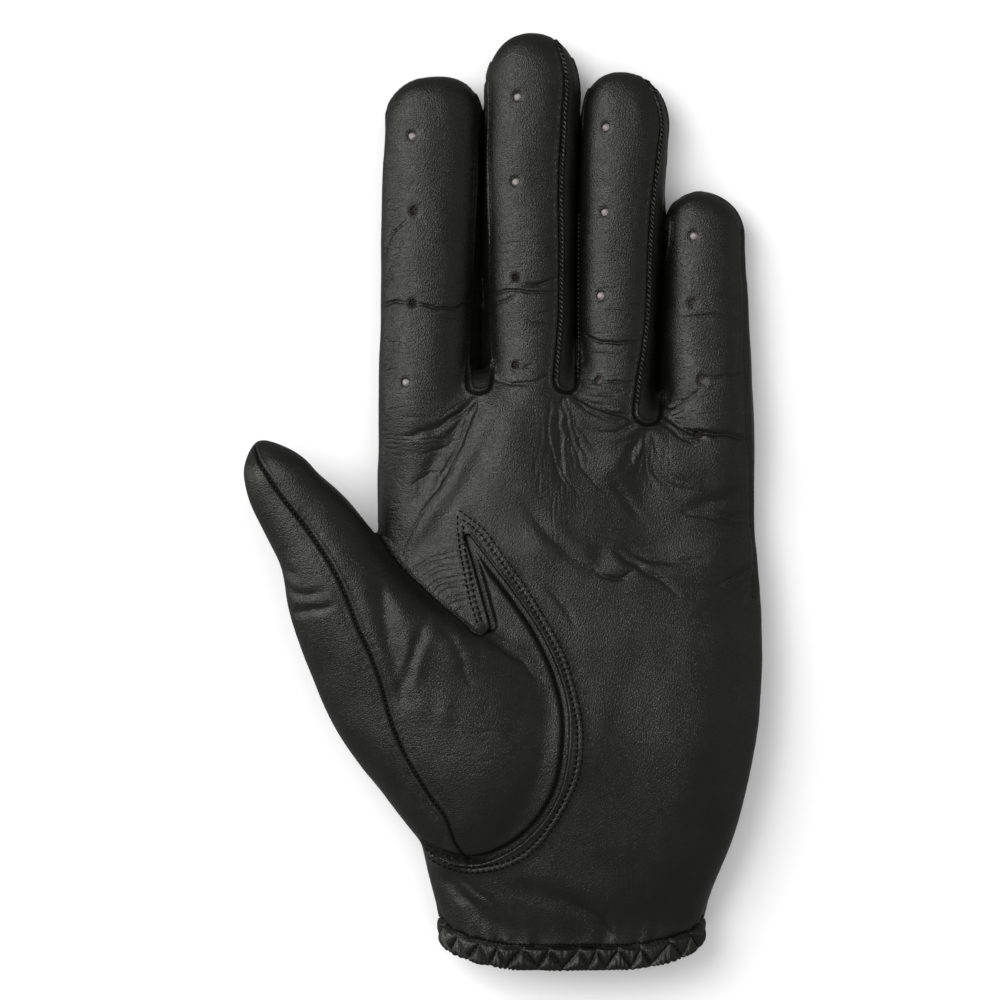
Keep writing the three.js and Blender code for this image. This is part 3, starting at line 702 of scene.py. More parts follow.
def refine(points, faces, near):
    """Halve the edges of the triangles that have a point near something."""
    edges, numbers = edges_of(faces)
    marked = np.zeros(len(edges), bool)
    marked[numbers[near[faces].any(axis=1)].ravel()] = True
    return split_edges(points, faces, edges, numbers, marked, np.full(len(edges), 0.5))


def cut(points, faces, field):
    """Divide the skin where a field of the points changes sign."""
    value = field(points)
    value[np.abs(value) < CUT_MARGIN] = CUT_MARGIN
    edges, numbers = edges_of(faces)
    start, end = value[edges[:, 0]], value[edges[:, 1]]
    marked = start * end < 0
    share = np.where(marked, start / np.where(marked, start - end, 1), 0.5)
    share = np.clip(share, CUT_MARGIN, 1 - CUT_MARGIN)
    return split_edges(points, faces, edges, numbers, marked, share)


# Distances in plan


def measure(points, line):
    """Each point's distance from a line in plan, its place along it and its side, and the line's length."""
    x, y = np.ascontiguousarray(points.T)
    best = np.full(len(points), np.inf)
    along = np.zeros(len(points))
    side = np.zeros(len(points))
    reached = 0.0
    for (start_x, start_y), (end_x, end_y) in zip(line[:-1], line[1:]):
        way_x, way_y = end_x - start_x, end_y - start_y
        length = math.hypot(way_x, way_y)
        off_x, off_y = x - start_x, y - start_y
        t = np.clip((off_x * way_x + off_y * way_y) / length**2, 0, 1)
        gap = (off_x - t * way_x) ** 2 + (off_y - t * way_y) ** 2
        closer = gap < best
        best[closer] = gap[closer]
        along[closer] = reached + t[closer] * length
        side[closer] = np.sign(way_x * off_y[closer] - way_y * off_x[closer])
        reached += length
    return np.sqrt(best), along, side, reached


def near_line(points, line, margin):
    """Which points lie in a line's box, widened by a margin."""
    low, high = line.min(axis=0) - margin, line.max(axis=0) + margin
    x, y = points[:, 0], points[:, 1]
    return np.flatnonzero((x > low[0]) & (x < high[0]) & (y > low[1]) & (y < high[1]))


def near_measure(points, line, margin):
    """The points within a margin of a line's box, and what measure() says of them."""
    near = near_line(points, line, margin)
    return near, *measure(points[near, :2], line)


def signed_gap(points, closed):
    """Distance of each point from a closed line in plan, negative outside it."""
    gap = measure(points, closed)[0]
    odd = np.zeros(len(points), bool)
    x, y = np.ascontiguousarray(points.T)
    for (ax, ay), (bx, by) in zip(closed[:-1], closed[1:]):
        if ay != by:
            odd ^= ((ay > y) != (by > y)) & (x < (bx - ax) * (y - ay) / (by - ay) + ax)
    return np.where(odd, gap, -gap)


def inside(points, outline):
    """How far each point lies inside a closed outline in plan. Far from its line the number is rough."""
    rough = np.vstack([outline[::6], outline[-1:], outline[:1]])
    value = signed_gap(points, rough[np.append(True, np.any(np.diff(rough, axis=0) != 0, axis=1))])
    near = np.abs(value) < NEAR
    value[near] = signed_gap(points[near], np.vstack([outline, outline[:1]]))
    return value


def inside_field(outline):
    """inside() for a whole skin, worked out only near the outline's box."""

    def field(points):
        value = np.full(len(points), -FAR)
        near = near_line(points, outline, FAR)
        value[near] = inside(points[near, :2], outline)
        return value

    return field


def thumb_outline():
    """The thumb piece in plan. Past the hand it runs wide, so that it takes in the thumb's side."""
    edge = [smooth_line(part) for part in (THUMB_RIGHT, THUMB_CROTCH, TONGUE, THUMB_ARC)]
    return np.vstack([*edge, [(-80.0, -80.0), (-80.0, 26.0)]])


def fork_outline(seams):
    """A fork in plan, from the tip of one finger round the crotch to the tip of the next."""
    down, up = smooth_line(seams["near"]), smooth_line(seams["far"])
    around = smooth_line([seams["near"][-1], *seams["crotch"], seams["far"][0]])
    top = max(down[0, 1], up[-1, 1]) + 4
    return np.vstack([down, around[1:-1], up, [(up[-1, 0], top), (down[0, 0], top)]])


def hem_line(z):
    """Where the hide ends at the wrist, at a height."""
    s = (z - WRIST["middle"]) / WRIST["middle"]
    end = np.where(s > 0, WRIST["front"], WRIST["back"])
    return WRIST["side"] + (end - WRIST["side"]) * np.minimum(1, np.abs(s)) ** 1.4


def wrist_field(points):
    """How far each point lies from the wrist's end, towards the fingers."""
    return points[:, 1] - hem_line(points[:, 2])


def hole_field(points):
    """How far each point of the palm side lies outside the punched holes."""
    value = np.full(len(points), 5.0)
    for finger in FINGERS.values():
        for x, y, _ in finger["holes"]:
            value = np.minimum(value, np.hypot(points[:, 0] - x, points[:, 1] - y) - HOLE_RADIUS)
    return np.where(points[:, 2] > HOLES_ABOVE, value, 5.0)


# Lines of the folds and of the stitches


def fan_lines():
    """The folds of every fan, each bent a little and of its own length."""
    random = np.random.default_rng(5)
    folds = []
    for x, y, first, last, count, inner, outer, depth, width in FANS:
        for angle in np.linspace(first, last, count):
            turn = math.radians(angle + random.uniform(-3, 3))
            bend = math.radians(random.uniform(-14, 14))
            reach = outer * random.uniform(0.6, 1.0)
            line = [
                (x + r * math.cos(turn + t * bend), y + r * math.sin(turn + t * bend))
                for r, t in ((inner, 0), ((inner + reach) / 2, 0.3), (reach, 1))
            ]
            own_depth, own_width = depth * random.uniform(0.6, 1.1), width * random.uniform(0.8, 1.3)
            folds.append((smooth_line(line), own_depth, own_width))
    return folds


def flap_lines():
    """Fine wrinkles fanned across the hide between the thumb crotch and its tongue."""
    folds = []
    for t in FLAP["places"]:
        start = (-23.8 + 12.0 * t, -17.6 - 11.6 * t)
        end = (-11.2 + 3.2 * t, -12.6 - 15.4 * t)
        bend = ((start[0] + end[0]) / 2, (start[1] + end[1]) / 2 + 1.1 - 0.7 * t)
        folds.append((smooth_line([start, bend, end]), FLAP["depth"], FLAP["width"]))
    return folds


def fold_lines():
    """Every fold: its line, depth, half width, and how far round it the skin is refined."""
    folds = []
    for corners, depth, width in FOLDS:
        reach = max(FOLD_REACH, 2 * width) if width < FOLD_REACH else 0
        folds.append((smooth_line(corners), depth, width, reach))
    return folds + [(*fold, FOLD_REACH) for fold in fan_lines() + flap_lines()]


def stitch_lines():
    """The rows of stitches round the thumb piece, in plan."""
    arc, tongue = smooth_line(ARC_STITCHES), smooth_line(TONGUE_STITCHES)
    return [arc, shifted(arc, -ROW_GAP)[4:], tongue, shifted(tongue, -ROW_GAP)[:-6]]


# How the skin moves along its normals


def front_of(normals):
    """1 where the skin faces up, 0 where it faces sideways or down."""
    return ease(-0.05, 0.35, normals[:, 2])


def valley(points, move, line, depth, width):
    """Press one fold into the skin along a line, with a soft shoulder on each side."""
    near, gap, along, side, length = near_measure(points, line, 5 * width)
    signed = gap * side + 0.28 * waves(points[near], 5.0, 17)
    ends = np.sin(np.pi * np.clip(along / length * 0.86 + 0.07, 0, 1)) ** 0.7
    shoulder = 0.45 * ease(0.5, 1.2, width) * depth * bell(np.abs(signed) - 2.0 * width, 1.3 * width)
    move[near] += ends * (shoulder * np.where(side > 0, 1.0, 0.5) - depth * bell(signed, width))


def folded(points, normals, folds):
    """The folds and broad forms of the palm side."""
    move = np.zeros(len(points))
    for x, y, half_width, half_length, height in FORMS:
        move += height * bell(points[:, 0] - x, half_width) * bell(points[:, 1] - y, half_length)
    for line, depth, width, _ in folds:
        valley(points, move, line, depth, width)
    return move * front_of(normals)


def fork_seam_moves(points, normals, distance, on_fork):
    """A closed seam along a finger: a rolled edge on each side of a fine deep line."""
    x, y = points[:, 0], points[:, 1]
    pucker = 1 + 0.35 * np.sin(y * 2 * np.pi / 2.3 + 2 * np.sin(y * 0.37))
    panel = FORK_SEAM["panel"] * bell(distance - 0.95, 0.5) * pucker
    ridge = FORK_SEAM["ridge"] * bell(distance - 0.8, 0.34)
    tips = [finger["tip"] for finger in FINGERS.values()]
    near_tip = np.max([bell(np.hypot(x - tip[0], y - tip[1]), 6.5) for tip in tips], axis=0)
    steep = 0.3 + 0.7 * ease(0.1, 0.5, normals[:, 2])
    move = np.where(on_fork, ridge, panel) - FORK_SEAM["depth"] * bell(distance, 0.34)
    return move * steep * (1 - 0.75 * near_tip)


def lap_moves(points, normals, on_thumb):
    """The lapped seam of the thumb: the palm's folded edge lies on the thumb piece."""
    near, gap, _, _, _ = near_measure(points, np.vstack([smooth_line(TONGUE), smooth_line(THUMB_ARC)]), 8)
    here = points[near, :2]
    across = np.where(on_thumb[near], -gap, gap)
    band = np.vstack([smooth_line(TONGUE_STITCHES), smooth_line(ARC_STITCHES)])
    plateau = ease(-1.0, 0.1, inside(here, band)) * ease(0.0, 0.35, across)
    edge = LAP["edge"] * bell(across - 0.55, 0.35)
    trench = ease(-2.4, -0.9, across) * (1 - ease(0.0, 0.3, across))
    move = LAP["rise"] * plateau + edge - LAP["trench"] * trench
    for row in stitch_lines():
        gap, along, _, _ = measure(here, row)
        move -= LAP["dent"] * bell(gap, 0.4) * (1 + 0.8 * np.cos(along / STITCH_PITCH * 2 * np.pi + np.pi))
    total = np.zeros(len(points))
    total[near] = move * ease(0.1, 0.5, normals[near, 2])
    return total


def thumb_edge_moves(points, normals, on_thumb):
    """Where the thumb stands in front of the palm: the palm side drops away beneath it."""
    line = np.vstack([smooth_line(THUMB_RIGHT), smooth_line(THUMB_CROTCH)])
    near, gap, _, _, _ = near_measure(points, line, 6)
    total = np.zeros(len(points))
    total[near] = -0.6 * bell(gap, np.where(on_thumb[near], 0.45, 1.3)) * ease(0.1, 0.6, normals[near, 2])
    return total


def groove_moves(points, normals, corners, depth, width):
    """A seam inside one piece: a fine deep line in a soft valley, with a thin lip beside it."""
    near, gap, along, side, _ = near_measure(points, smooth_line(corners), 5)
    move = np.zeros(len(points))
    lips = 0.2 * bell(gap - 0.95, 0.4) * np.where(side > 0, 1.2, 0.6)
    puckers = 0.02 * np.sin(along * 1.9 + 3 * np.sin(along * 0.31)) * bell(gap - 1.6, 1.2)
    soft = -0.4 * bell(gap, 2.2)
    move[near] = (lips + puckers + soft - depth * bell(gap, width)) * ease(0, 3, along)
    return move * front_of(normals)


def tip_moves(points, normals):
    """A seam round each fingertip, low on its side, with the back panel standing out below it."""
    move = np.zeros(len(points))
    for finger in FINGERS.values():
        y, left, right, _, _ = finger["sections"][-1]
        height = finger["tip"][2] - 0.6
        near = (points[:, 1] > y - 6) & (points[:, 0] > left - 3) & (points[:, 0] < right + 3)
        z, out = points[near, 2], ease(0.85, 0.5, np.abs(normals[near, 2]))
        rim = TIP_SEAM["rim"] * (1 - ease(height - 0.9, height - 0.1, z)) * ease(2.0, 5.0, z)
        lip = TIP_SEAM["lip"] * bell(z - height - 0.9, 0.5) - TIP_SEAM["depth"] * bell(z - height, 0.4)
        move[near] += (rim + lip) * out * ease(y - 4, y + 3, points[near, 1])
    return move


def wrist_gathers(points):
    """Short gathers that run from the hem into the hide."""
    ripple = waves(np.column_stack([points[:, 0], points[:, 1] * 0.15, points[:, 2]]), 4.6, 11)
    return 0.4 * ripple * bell(wrist_field(points), 5.0)


# The skin


def finger_of(points):
    """The number of the finger that each point of the spread hand belongs to."""
    middles = []
    for finger in FINGERS.values():
        rows = np.array(finger["sections"])
        middle = np.interp(points[:, 1], rows[:, 0], (rows[:, 1] + rows[:, 2]) / 2)
        middles.append(middle + finger["spread"] * ease(SPREAD_FROM, SPREAD_TO, points[:, 1]))
    return np.argmin(np.abs(np.array(middles) - points[:, 0]), axis=0)


def bare_skin():
    """The whole hand without folds: every tube joined, blended and flattened where it rests."""
    shells = [palm_shell(), thumb_shell()] + [finger_shell(finger) for finger in FINGERS.values()]
    points, faces = voxel_union(shells)
    spreads = np.array([finger["spread"] for finger in FINGERS.values()])
    spread = spreads[finger_of(points)] * ease(SPREAD_FROM, SPREAD_TO, points[:, 1])
    points[:, 0] -= np.where(points[:, 0] < THUMB_LEFT_OF, 0, spread)
    points = relax(points, faces, RELAX_ROUNDS)
    z = points[:, 2]
    points[:, 2] = (z + np.sqrt(z**2 + 0.3)) / 2
    return points, faces


def close_gaps(points):
    """Let the sides of neighbouring fingers meet low down, so that no gap is left between them."""
    for seams in FORK_SEAMS.values():
        start, end = np.array(seams["near"][::-1]), np.array(seams["far"])
        near = near_line(points, np.vstack([start, end]), 3)
        x, y, z = points[near].T
        left, right = (np.interp(y, row[:, 1], row[:, 0]) for row in (start, end))
        middle = left + (right - left) * seams["meet"]
        low = ease(0.4, 2.0, z) * (1 - ease(5.5, 12.0, z))
        between = ease(left - 2.4, left - 1.2, x) * (1 - ease(right + 1.2, right + 2.4, x))
        base, top = seams["far"][0][1], seams["closed"]
        weight = low * between * ease(base - 2.5, base + 1.5, y) * (1 - ease(top - 8, top + 2, y))
        right_push = np.maximum(middle + OVERLAP - x, 0)
        left_push = np.minimum(middle - OVERLAP - x, 0)
        points[near, 0] = x + weight * np.where(x < middle, right_push, left_push)
    return points


def fork_distance(points, faces, piece, fields):
    """Distance of each point from the nearest seam of a fork."""
    edges, numbers = edges_of(faces)
    low = np.full(len(edges), len(PIECES))
    high = np.full(len(edges), -1)
    for corner in range(3):
        np.minimum.at(low, numbers[:, corner], piece)
        np.maximum.at(high, numbers[:, corner], piece)
    on_seam = np.unique(edges[(low == 0) & (high > 1)].ravel())
    tree = KDTree(len(on_seam))
    for k, index in enumerate(on_seam):
        tree.insert(points[index], k)
    tree.balance()
    distance = np.full(len(points), 9.0)
    near = np.min([np.abs(field(points)) for field in fields], axis=0) < 2.6
    for index in np.flatnonzero(near):
        distance[index] = tree.find(points[index])[2]
    return distance


def build_skin():
    """The finished skin, and for each triangle the number of its piece."""
    points, faces = bare_skin()
    folds = fold_lines()
    thumb_plan = inside_field(thumb_outline())
    forks = [inside_field(fork_outline(seams)) for seams in FORK_SEAMS.values()]
    lines = [(smooth_line(THUMB_SIDE_SEAM), SEAM_RADIUS), (smooth_line(LITTLE_SIDE_SEAM), SIDE_RADIUS)]
    lines += [(line, reach) for line, _, _, reach in folds]

    def detail(points, share):
        """Which points lie near a seam, a hole or a fold of the palm side."""
        near = np.abs(hole_field(points)) < share
        for field in (thumb_plan, *forks):
            near |= np.abs(field(points)) < SEAM_RADIUS * share
        for line, reach in lines:
            some, gap, _, _, _ = near_measure(points, line, reach * share)
            near[some] |= gap < reach * share
        return near & (points[:, 2] > FINE_ABOVE)

    for share in (1.0, 0.4):
        points, faces = refine(points, faces, detail(points, share))

    def thumb_field(points):
        return np.minimum(thumb_plan(points), points[:, 2] - THUMB_SEAM_HEIGHT)

    for field in (wrist_field, thumb_field, *forks, hole_field):
        points, faces = cut(points, faces, field)
    centres = points[faces].mean(axis=1)
    keep = (wrist_field(centres) > 0) & (hole_field(centres) > 0)
    faces, centres = faces[keep], centres[keep]
    piece = np.zeros(len(faces), int)
    for number, field in enumerate((thumb_field, *forks), start=1):
        piece[field(centres) > 0] = number

    # A point on a seam counts as part of the piece with the higher number
    owner = np.zeros(len(points), int)
    for corner in range(3):
        np.maximum.at(owner, faces[:, corner], piece)
    distance = fork_distance(points, faces, piece, forks)
    points = close_gaps(points)
    normals = normals_of(points, faces)
    move = folded(points, normals, folds) + wrist_gathers(points)
    move += 0.25 * waves(points, 24, 1) * front_of(normals) + 0.08 * waves(points, 9, 2)
    move += groove_moves(points, normals, THUMB_SIDE_SEAM, 0.65, 0.28)
    move += groove_moves(points, normals, LITTLE_SIDE_SEAM, 0.4, 0.4)
    move += fork_seam_moves(points, normals, distance, owner > 1)
    move += lap_moves(points, normals, owner == 1) + thumb_edge_moves(points, normals, owner == 1)
    move += tip_moves(points, normals)
    move -= 0.25 * bell(hole_field(points), 0.5)
    resting = ease(0.2, 2.0, points[:, 2])
    return points + normals * (move * resting)[:, None], faces, piece


# Materials


def new_material(name, values):
    """A material, its node tree and its shader, with values set on the shader's own sockets."""
    material = bpy.data.materials.new(name)
    material.use_nodes = True
    shader = material.node_tree.nodes["Principled BSDF"]
    for socket, value in values.items():
        shader.inputs[socket].default_value = value
    return material, material.node_tree, shader


def texture(tree, kind, scale, stretch=None, **settings):
    """A texture node in object coordinates, its scale in features per metre."""
    coordinates = tree.nodes.new("ShaderNodeTexCoord").outputs["Object"]
    if stretch:
        mapping = tree.nodes.new("ShaderNodeMapping")
        mapping.inputs["Scale"].default_value = stretch
        tree.links.new(coordinates, mapping.inputs["Vector"])
        coordinates = mapping.outputs["Vector"]
    node = tree.nodes.new(kind)
    node.inputs["Scale"].default_value = scale
    for name, value in settings.items():
        if name in node.inputs:
            node.inputs[name].default_value = value
        else:
            setattr(node, name, value)
    tree.links.new(coordinates, node.inputs["Vector"])
    return node


def ramp(tree, source, low, high, start=0.3, end=0.7):
    """A ramp between two colours."""
    node = tree.nodes.new("ShaderNodeValToRGB")
    for element, place, colour in zip(node.color_ramp.elements, (start, end), (low, high)):
        element.position = place
        element.color = (*colour, 1)
    tree.links.new(source, node.inputs["Fac"])
    return node.outputs["Color"]


def bump(tree, height, distance, strength=1.0, below=None):
    """A bump on top of the one below it."""
    node = tree.nodes.new("ShaderNodeBump")
    node.inputs["Strength"].default_value = strength
    node.inputs["Distance"].default_value = distance
    tree.links.new(height, node.inputs["Height"])
    if below is not None:
        tree.links.new(below, node.inputs["Normal"])
    return node.outputs["Normal"]


def masked(tree, height, attribute):
    """A height multiplied by one of the patches painted on the mesh."""
    mask = tree.nodes.new("ShaderNodeAttribute")
    mask.attribute_name = attribute
    product = tree.nodes.new("ShaderNodeMath")
    product.operation = "MULTIPLY"
    tree.links.new(height, product.inputs[0])
    tree.links.new(mask.outputs["Fac"], product.inputs[1])
    return product.outputs["Value"]


def leather_material(name, base, roughness):
    """Smooth dyed hide: uneven in tone and gloss, with wrinkles, grain and pores as bumps."""
    values = {"Specular IOR Level": 0.45, "Specular Tint": (1.0, 1.0, 0.93, 1.0)}
    material, tree, shader = new_material(name, values)
    tone = texture(tree, "ShaderNodeTexNoise", 90, Detail=6.0, Roughness=0.6)
    tones = [tuple(share * c for c in base) for share in (0.75, 1.3)]
    tree.links.new(ramp(tree, tone.outputs["Fac"], *tones), shader.inputs["Base Color"])
    patches = texture(tree, "ShaderNodeTexNoise", 240, Detail=6.0, Roughness=0.65)
    rough = ramp(tree, patches.outputs["Fac"], (roughness - 0.06,) * 3, (roughness + 0.1,) * 3)
    tree.links.new(rough, shader.inputs["Roughness"])
    fine = {"noise_type": "RIDGED_MULTIFRACTAL", "Detail": 3.0, "Roughness": 0.5}
    across = texture(tree, "ShaderNodeTexNoise", 300, (0.5, 3.0, 1.0), **fine)
    along = texture(tree, "ShaderNodeTexNoise", 300, (3.0, 0.5, 1.0), **fine)
    wrinkles = texture(tree, "ShaderNodeTexNoise", 420, Detail=4.0, Roughness=0.6)
    cells = texture(tree, "ShaderNodeTexVoronoi", 1700, feature="DISTANCE_TO_EDGE")
    pores = texture(tree, "ShaderNodeTexNoise", 2900, Detail=2.0, Roughness=0.5)
    layers = [
        (wrinkles.outputs["Fac"], None, 0.00012, 0.6),
        (across.outputs["Fac"], "across", -0.00035, 0.9),
        (along.outputs["Fac"], "along", -0.00035, 0.9),
        (cells.outputs["Distance"], None, 0.00017, 0.8),
        (pores.outputs["Fac"], None, 0.00006, 0.8),
    ]
    normal = None
    for height, patch, distance, strength in layers:
        height = masked(tree, height, patch) if patch else height
        normal = bump(tree, height, distance, strength, normal)
    tree.links.new(normal, shader.inputs["Normal"])
    return material


def paint_patches(mesh, points, faces):
    """Paint on a mesh where the hide has fine wrinkles."""
    facing = ease(-0.2, 0.3, normals_of(points, faces)[:, 2])
    for way, patches in PATCHES.items():
        total = np.zeros(len(points))
        for x, y, half_width, half_length, strength in patches:
            patch = bell(points[:, 0] - x, half_width) * bell(points[:, 1] - y, half_length)
            total = np.maximum(total, strength * patch)
        layer = mesh.attributes.new(way, "FLOAT", "POINT")
        layer.data.foreach_set("value", (total * facing).astype(np.float32))


def thread_material(name):
    """Twisted thread. The pale one is a painted highlight: it stands for glints of light along a dark seam.
    """
    values = {"Base Color": (*LOOKS[name], 1), "Roughness": 0.8, "Specular IOR Level": 0.12}
    material, tree, shader = new_material(name, values)
    twist = texture(tree, "ShaderNodeTexNoise", 5000, Detail=2.0)
    tree.links.new(bump(tree, twist.outputs["Fac"], 0.0001), shader.inputs["Normal"])
    return material


def lining_material():
    """Pale knitted cloth."""
    material, tree, shader = new_material("lining", {"Roughness": 0.9})
    knit = texture(tree, "ShaderNodeTexVoronoi", 1600).outputs["Distance"]
    shade = tuple(0.6 * c for c in LOOKS["lining"])
    tree.links.new(ramp(tree, knit, LOOKS["lining"], shade, 0.1, 0.9), shader.inputs["Base Color"])
    tree.links.new(bump(tree, knit, 0.0002), shader.inputs["Normal"])
    return material


# Pieces


def place(name, shape, material, slot, replaces=()):
    """A piece, from its points and faces, that rides on the glove and stands for some of its solids."""
    mesh = mesh_of(name, *shape, MM)
    mesh.polygons.foreach_set("use_smooth", np.ones(len(mesh.polygons), bool))
    piece = linked(name, mesh)
    piece.data.materials.append(material)
    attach(piece, "root")
    if replaces:
        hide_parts(*replaces)
    return piece


def inner_side(points, faces):
    """The inner side of the skin: each point moved in by the thickness of the hide."""
    way = relax(normals_of(points, faces), faces, 6)
    return points - LEATHER * way / np.linalg.norm(way, axis=1, keepdims=True)


def walled(outer, inner, faces):
    """A piece of skin closed into a wall: its outer side, its inner side and the rim between them."""
    used, compact = np.unique(faces, return_inverse=True)
    faces = compact.reshape(-1, 3)
    count = len(used)
    ways = faces[:, [0, 1, 1, 2, 2, 0]].reshape(-1, 2).astype(np.int64)
    key = ways.min(axis=1) * count + ways.max(axis=1)
    _, first, uses = np.unique(key, return_index=True, return_counts=True)
    start, end = ways[first[uses == 1]].T
    rim = triangles(end, start, start + count, end + count)
    return np.vstack([outer[used], inner[used]]), np.vstack([faces, faces[:, ::-1] + count, rim])


def thickened(outer, inner, faces, limit):
    """A piece of skin with the hide's thickness. Its back and its inside get fewer, larger faces."""
    points, wall = walled(outer, inner, faces)
    body = linked("wall", mesh_of("wall", points, wall))
    is_plain = (normals_of(points, wall)[:, 2] < -0.3) & (points[:, 2] < PLAIN_BELOW)
    is_plain[len(points) // 2 :] = True
    plain = body.vertex_groups.new(name="plain")
    plain.add(np.flatnonzero(is_plain).tolist(), 1.0, "REPLACE")
    front = (~is_plain[wall[:, 0]]).sum()
    decimate = body.modifiers.new("decimate", "DECIMATE")
    decimate.vertex_group = "plain"
    decimate.ratio = (front + PLAIN_SHARE * (len(wall) - front)) / len(wall)
    size = decimate.ratio * len(wall)
    if size > limit:
        body.modifiers.new("last", "DECIMATE").ratio = limit / size
    result, result_faces = taken(body)
    return snapped(result, points, wall), result_faces


def snapped(points, true_points, true_faces):
    """Put back on the true surface the few points that were left beside it."""
    tree = BVHTree.FromPolygons(true_points.tolist(), true_faces.tolist())
    for index, point in enumerate(points):
        nearest, _, _, gap = tree.find_nearest(point)
        if gap > LOOSE:
            points[index] = nearest
    return points


def height_finder(points, faces):
    """A function that gives the skin's point and normal above a place in plan."""
    tree = BVHTree.FromPolygons(points.tolist(), faces.tolist())

    def find(x, y):
        hit, normal, _, _ = tree.ray_cast(Vector((x, y, 80)), Vector((0, 0, -1)))
        return None if hit is None else (np.array(hit), np.array(normal))

    return find


def stitch_shape():
    """One stitch along X: unit length, unit thickness, with round ends."""
    rings, sides = STITCH_RINGS, STITCH_SIDES
    t = np.linspace(-1, 1, rings)[:, None]
    radius = np.sqrt(np.maximum(0.12, 1 - t**2)) / 2
    angle = 2 * np.pi * np.arange(sides) / sides
    points = np.stack([t / 2 + 0 * angle, radius * np.cos(angle), radius * np.sin(angle)], -1)
    here = np.arange(rings * sides).reshape(rings, sides)
    after = np.roll(here, -1, axis=1)
    k = np.arange(1, sides - 1)
    end = np.stack([0 * k, k, k + 1], -1)
    faces = [triangles(here[:-1], after[:-1], after[1:], here[1:]), end[:, ::-1], end + (rings - 1) * sides]
    return points.reshape(-1, 3), np.vstack(faces)


def stitch(start, end, up, thickness, stretch=1.0, sink=0.5):
    """One stitch between two points, its upper side turned towards a direction."""
    axis = end - start
    size = np.linalg.norm(axis)
    axis /= size
    across = np.cross(up, axis)
    across /= np.linalg.norm(across)
    up = np.cross(axis, across)
    points, faces = stitch_shape()
    centre = (start + end) / 2 + up * thickness * (0.5 - sink)
    return points @ np.array([axis * size * stretch, across * thickness, up * thickness]) + centre, faces


def stitch_row(line, find, size, sink=0.25, slant=0.0):
    """Stitches along a line in plan, laid on the skin, each turned a little by its slant."""
    pitch, length, thickness = size
    along = lengths_along(line)
    stitches = []
    for at in np.arange(pitch / 2, along[-1], pitch):
        ends = []
        for step in (-0.5, 0.5):
            s = np.clip(at + step * length, 0, along[-1])
            x, y = place_on(line, along, s)
            before, after = (place_on(line, along, s + d) for d in (-0.1, 0.1))
            way = (after - before) / max(1e-6, np.linalg.norm(after - before))
            lean = slant * step * 2
            ends.append(find(x - way[1] * lean, y + way[0] * lean))
        if None in ends:
            continue
        (start, up_a), (end, up_b) = ends
        if 1e-6 < np.linalg.norm(end - start) <= 2.5 * length:
            jitter = 1 + rng.uniform(-0.06, 0.06)
            stitches.append(stitch(start, end, up_a + up_b, thickness, jitter, sink))
    return joined(stitches)


def wrist_section():
    """The middle and the half sizes of the hand's cross-section at the wrist."""
    left, right, low, high = smooth_table(PALM["sections"], np.array([WRIST["side"]]))[0]
    return (left + right) / 2, (low + high) / 2, (right - left) / 2, (high - low) / 2


def hem_row():
    """The straight row of stitches above the hem, in plan."""
    centre_x, centre_z, half, tall = wrist_section()
    angle = np.pi * np.linspace(0.97, 0.03, 200)
    z = centre_z + tall * boxy(np.sin(angle))
    return np.column_stack([centre_x + half * boxy(np.cos(angle)), hem_line(z) + HEM["row"]])


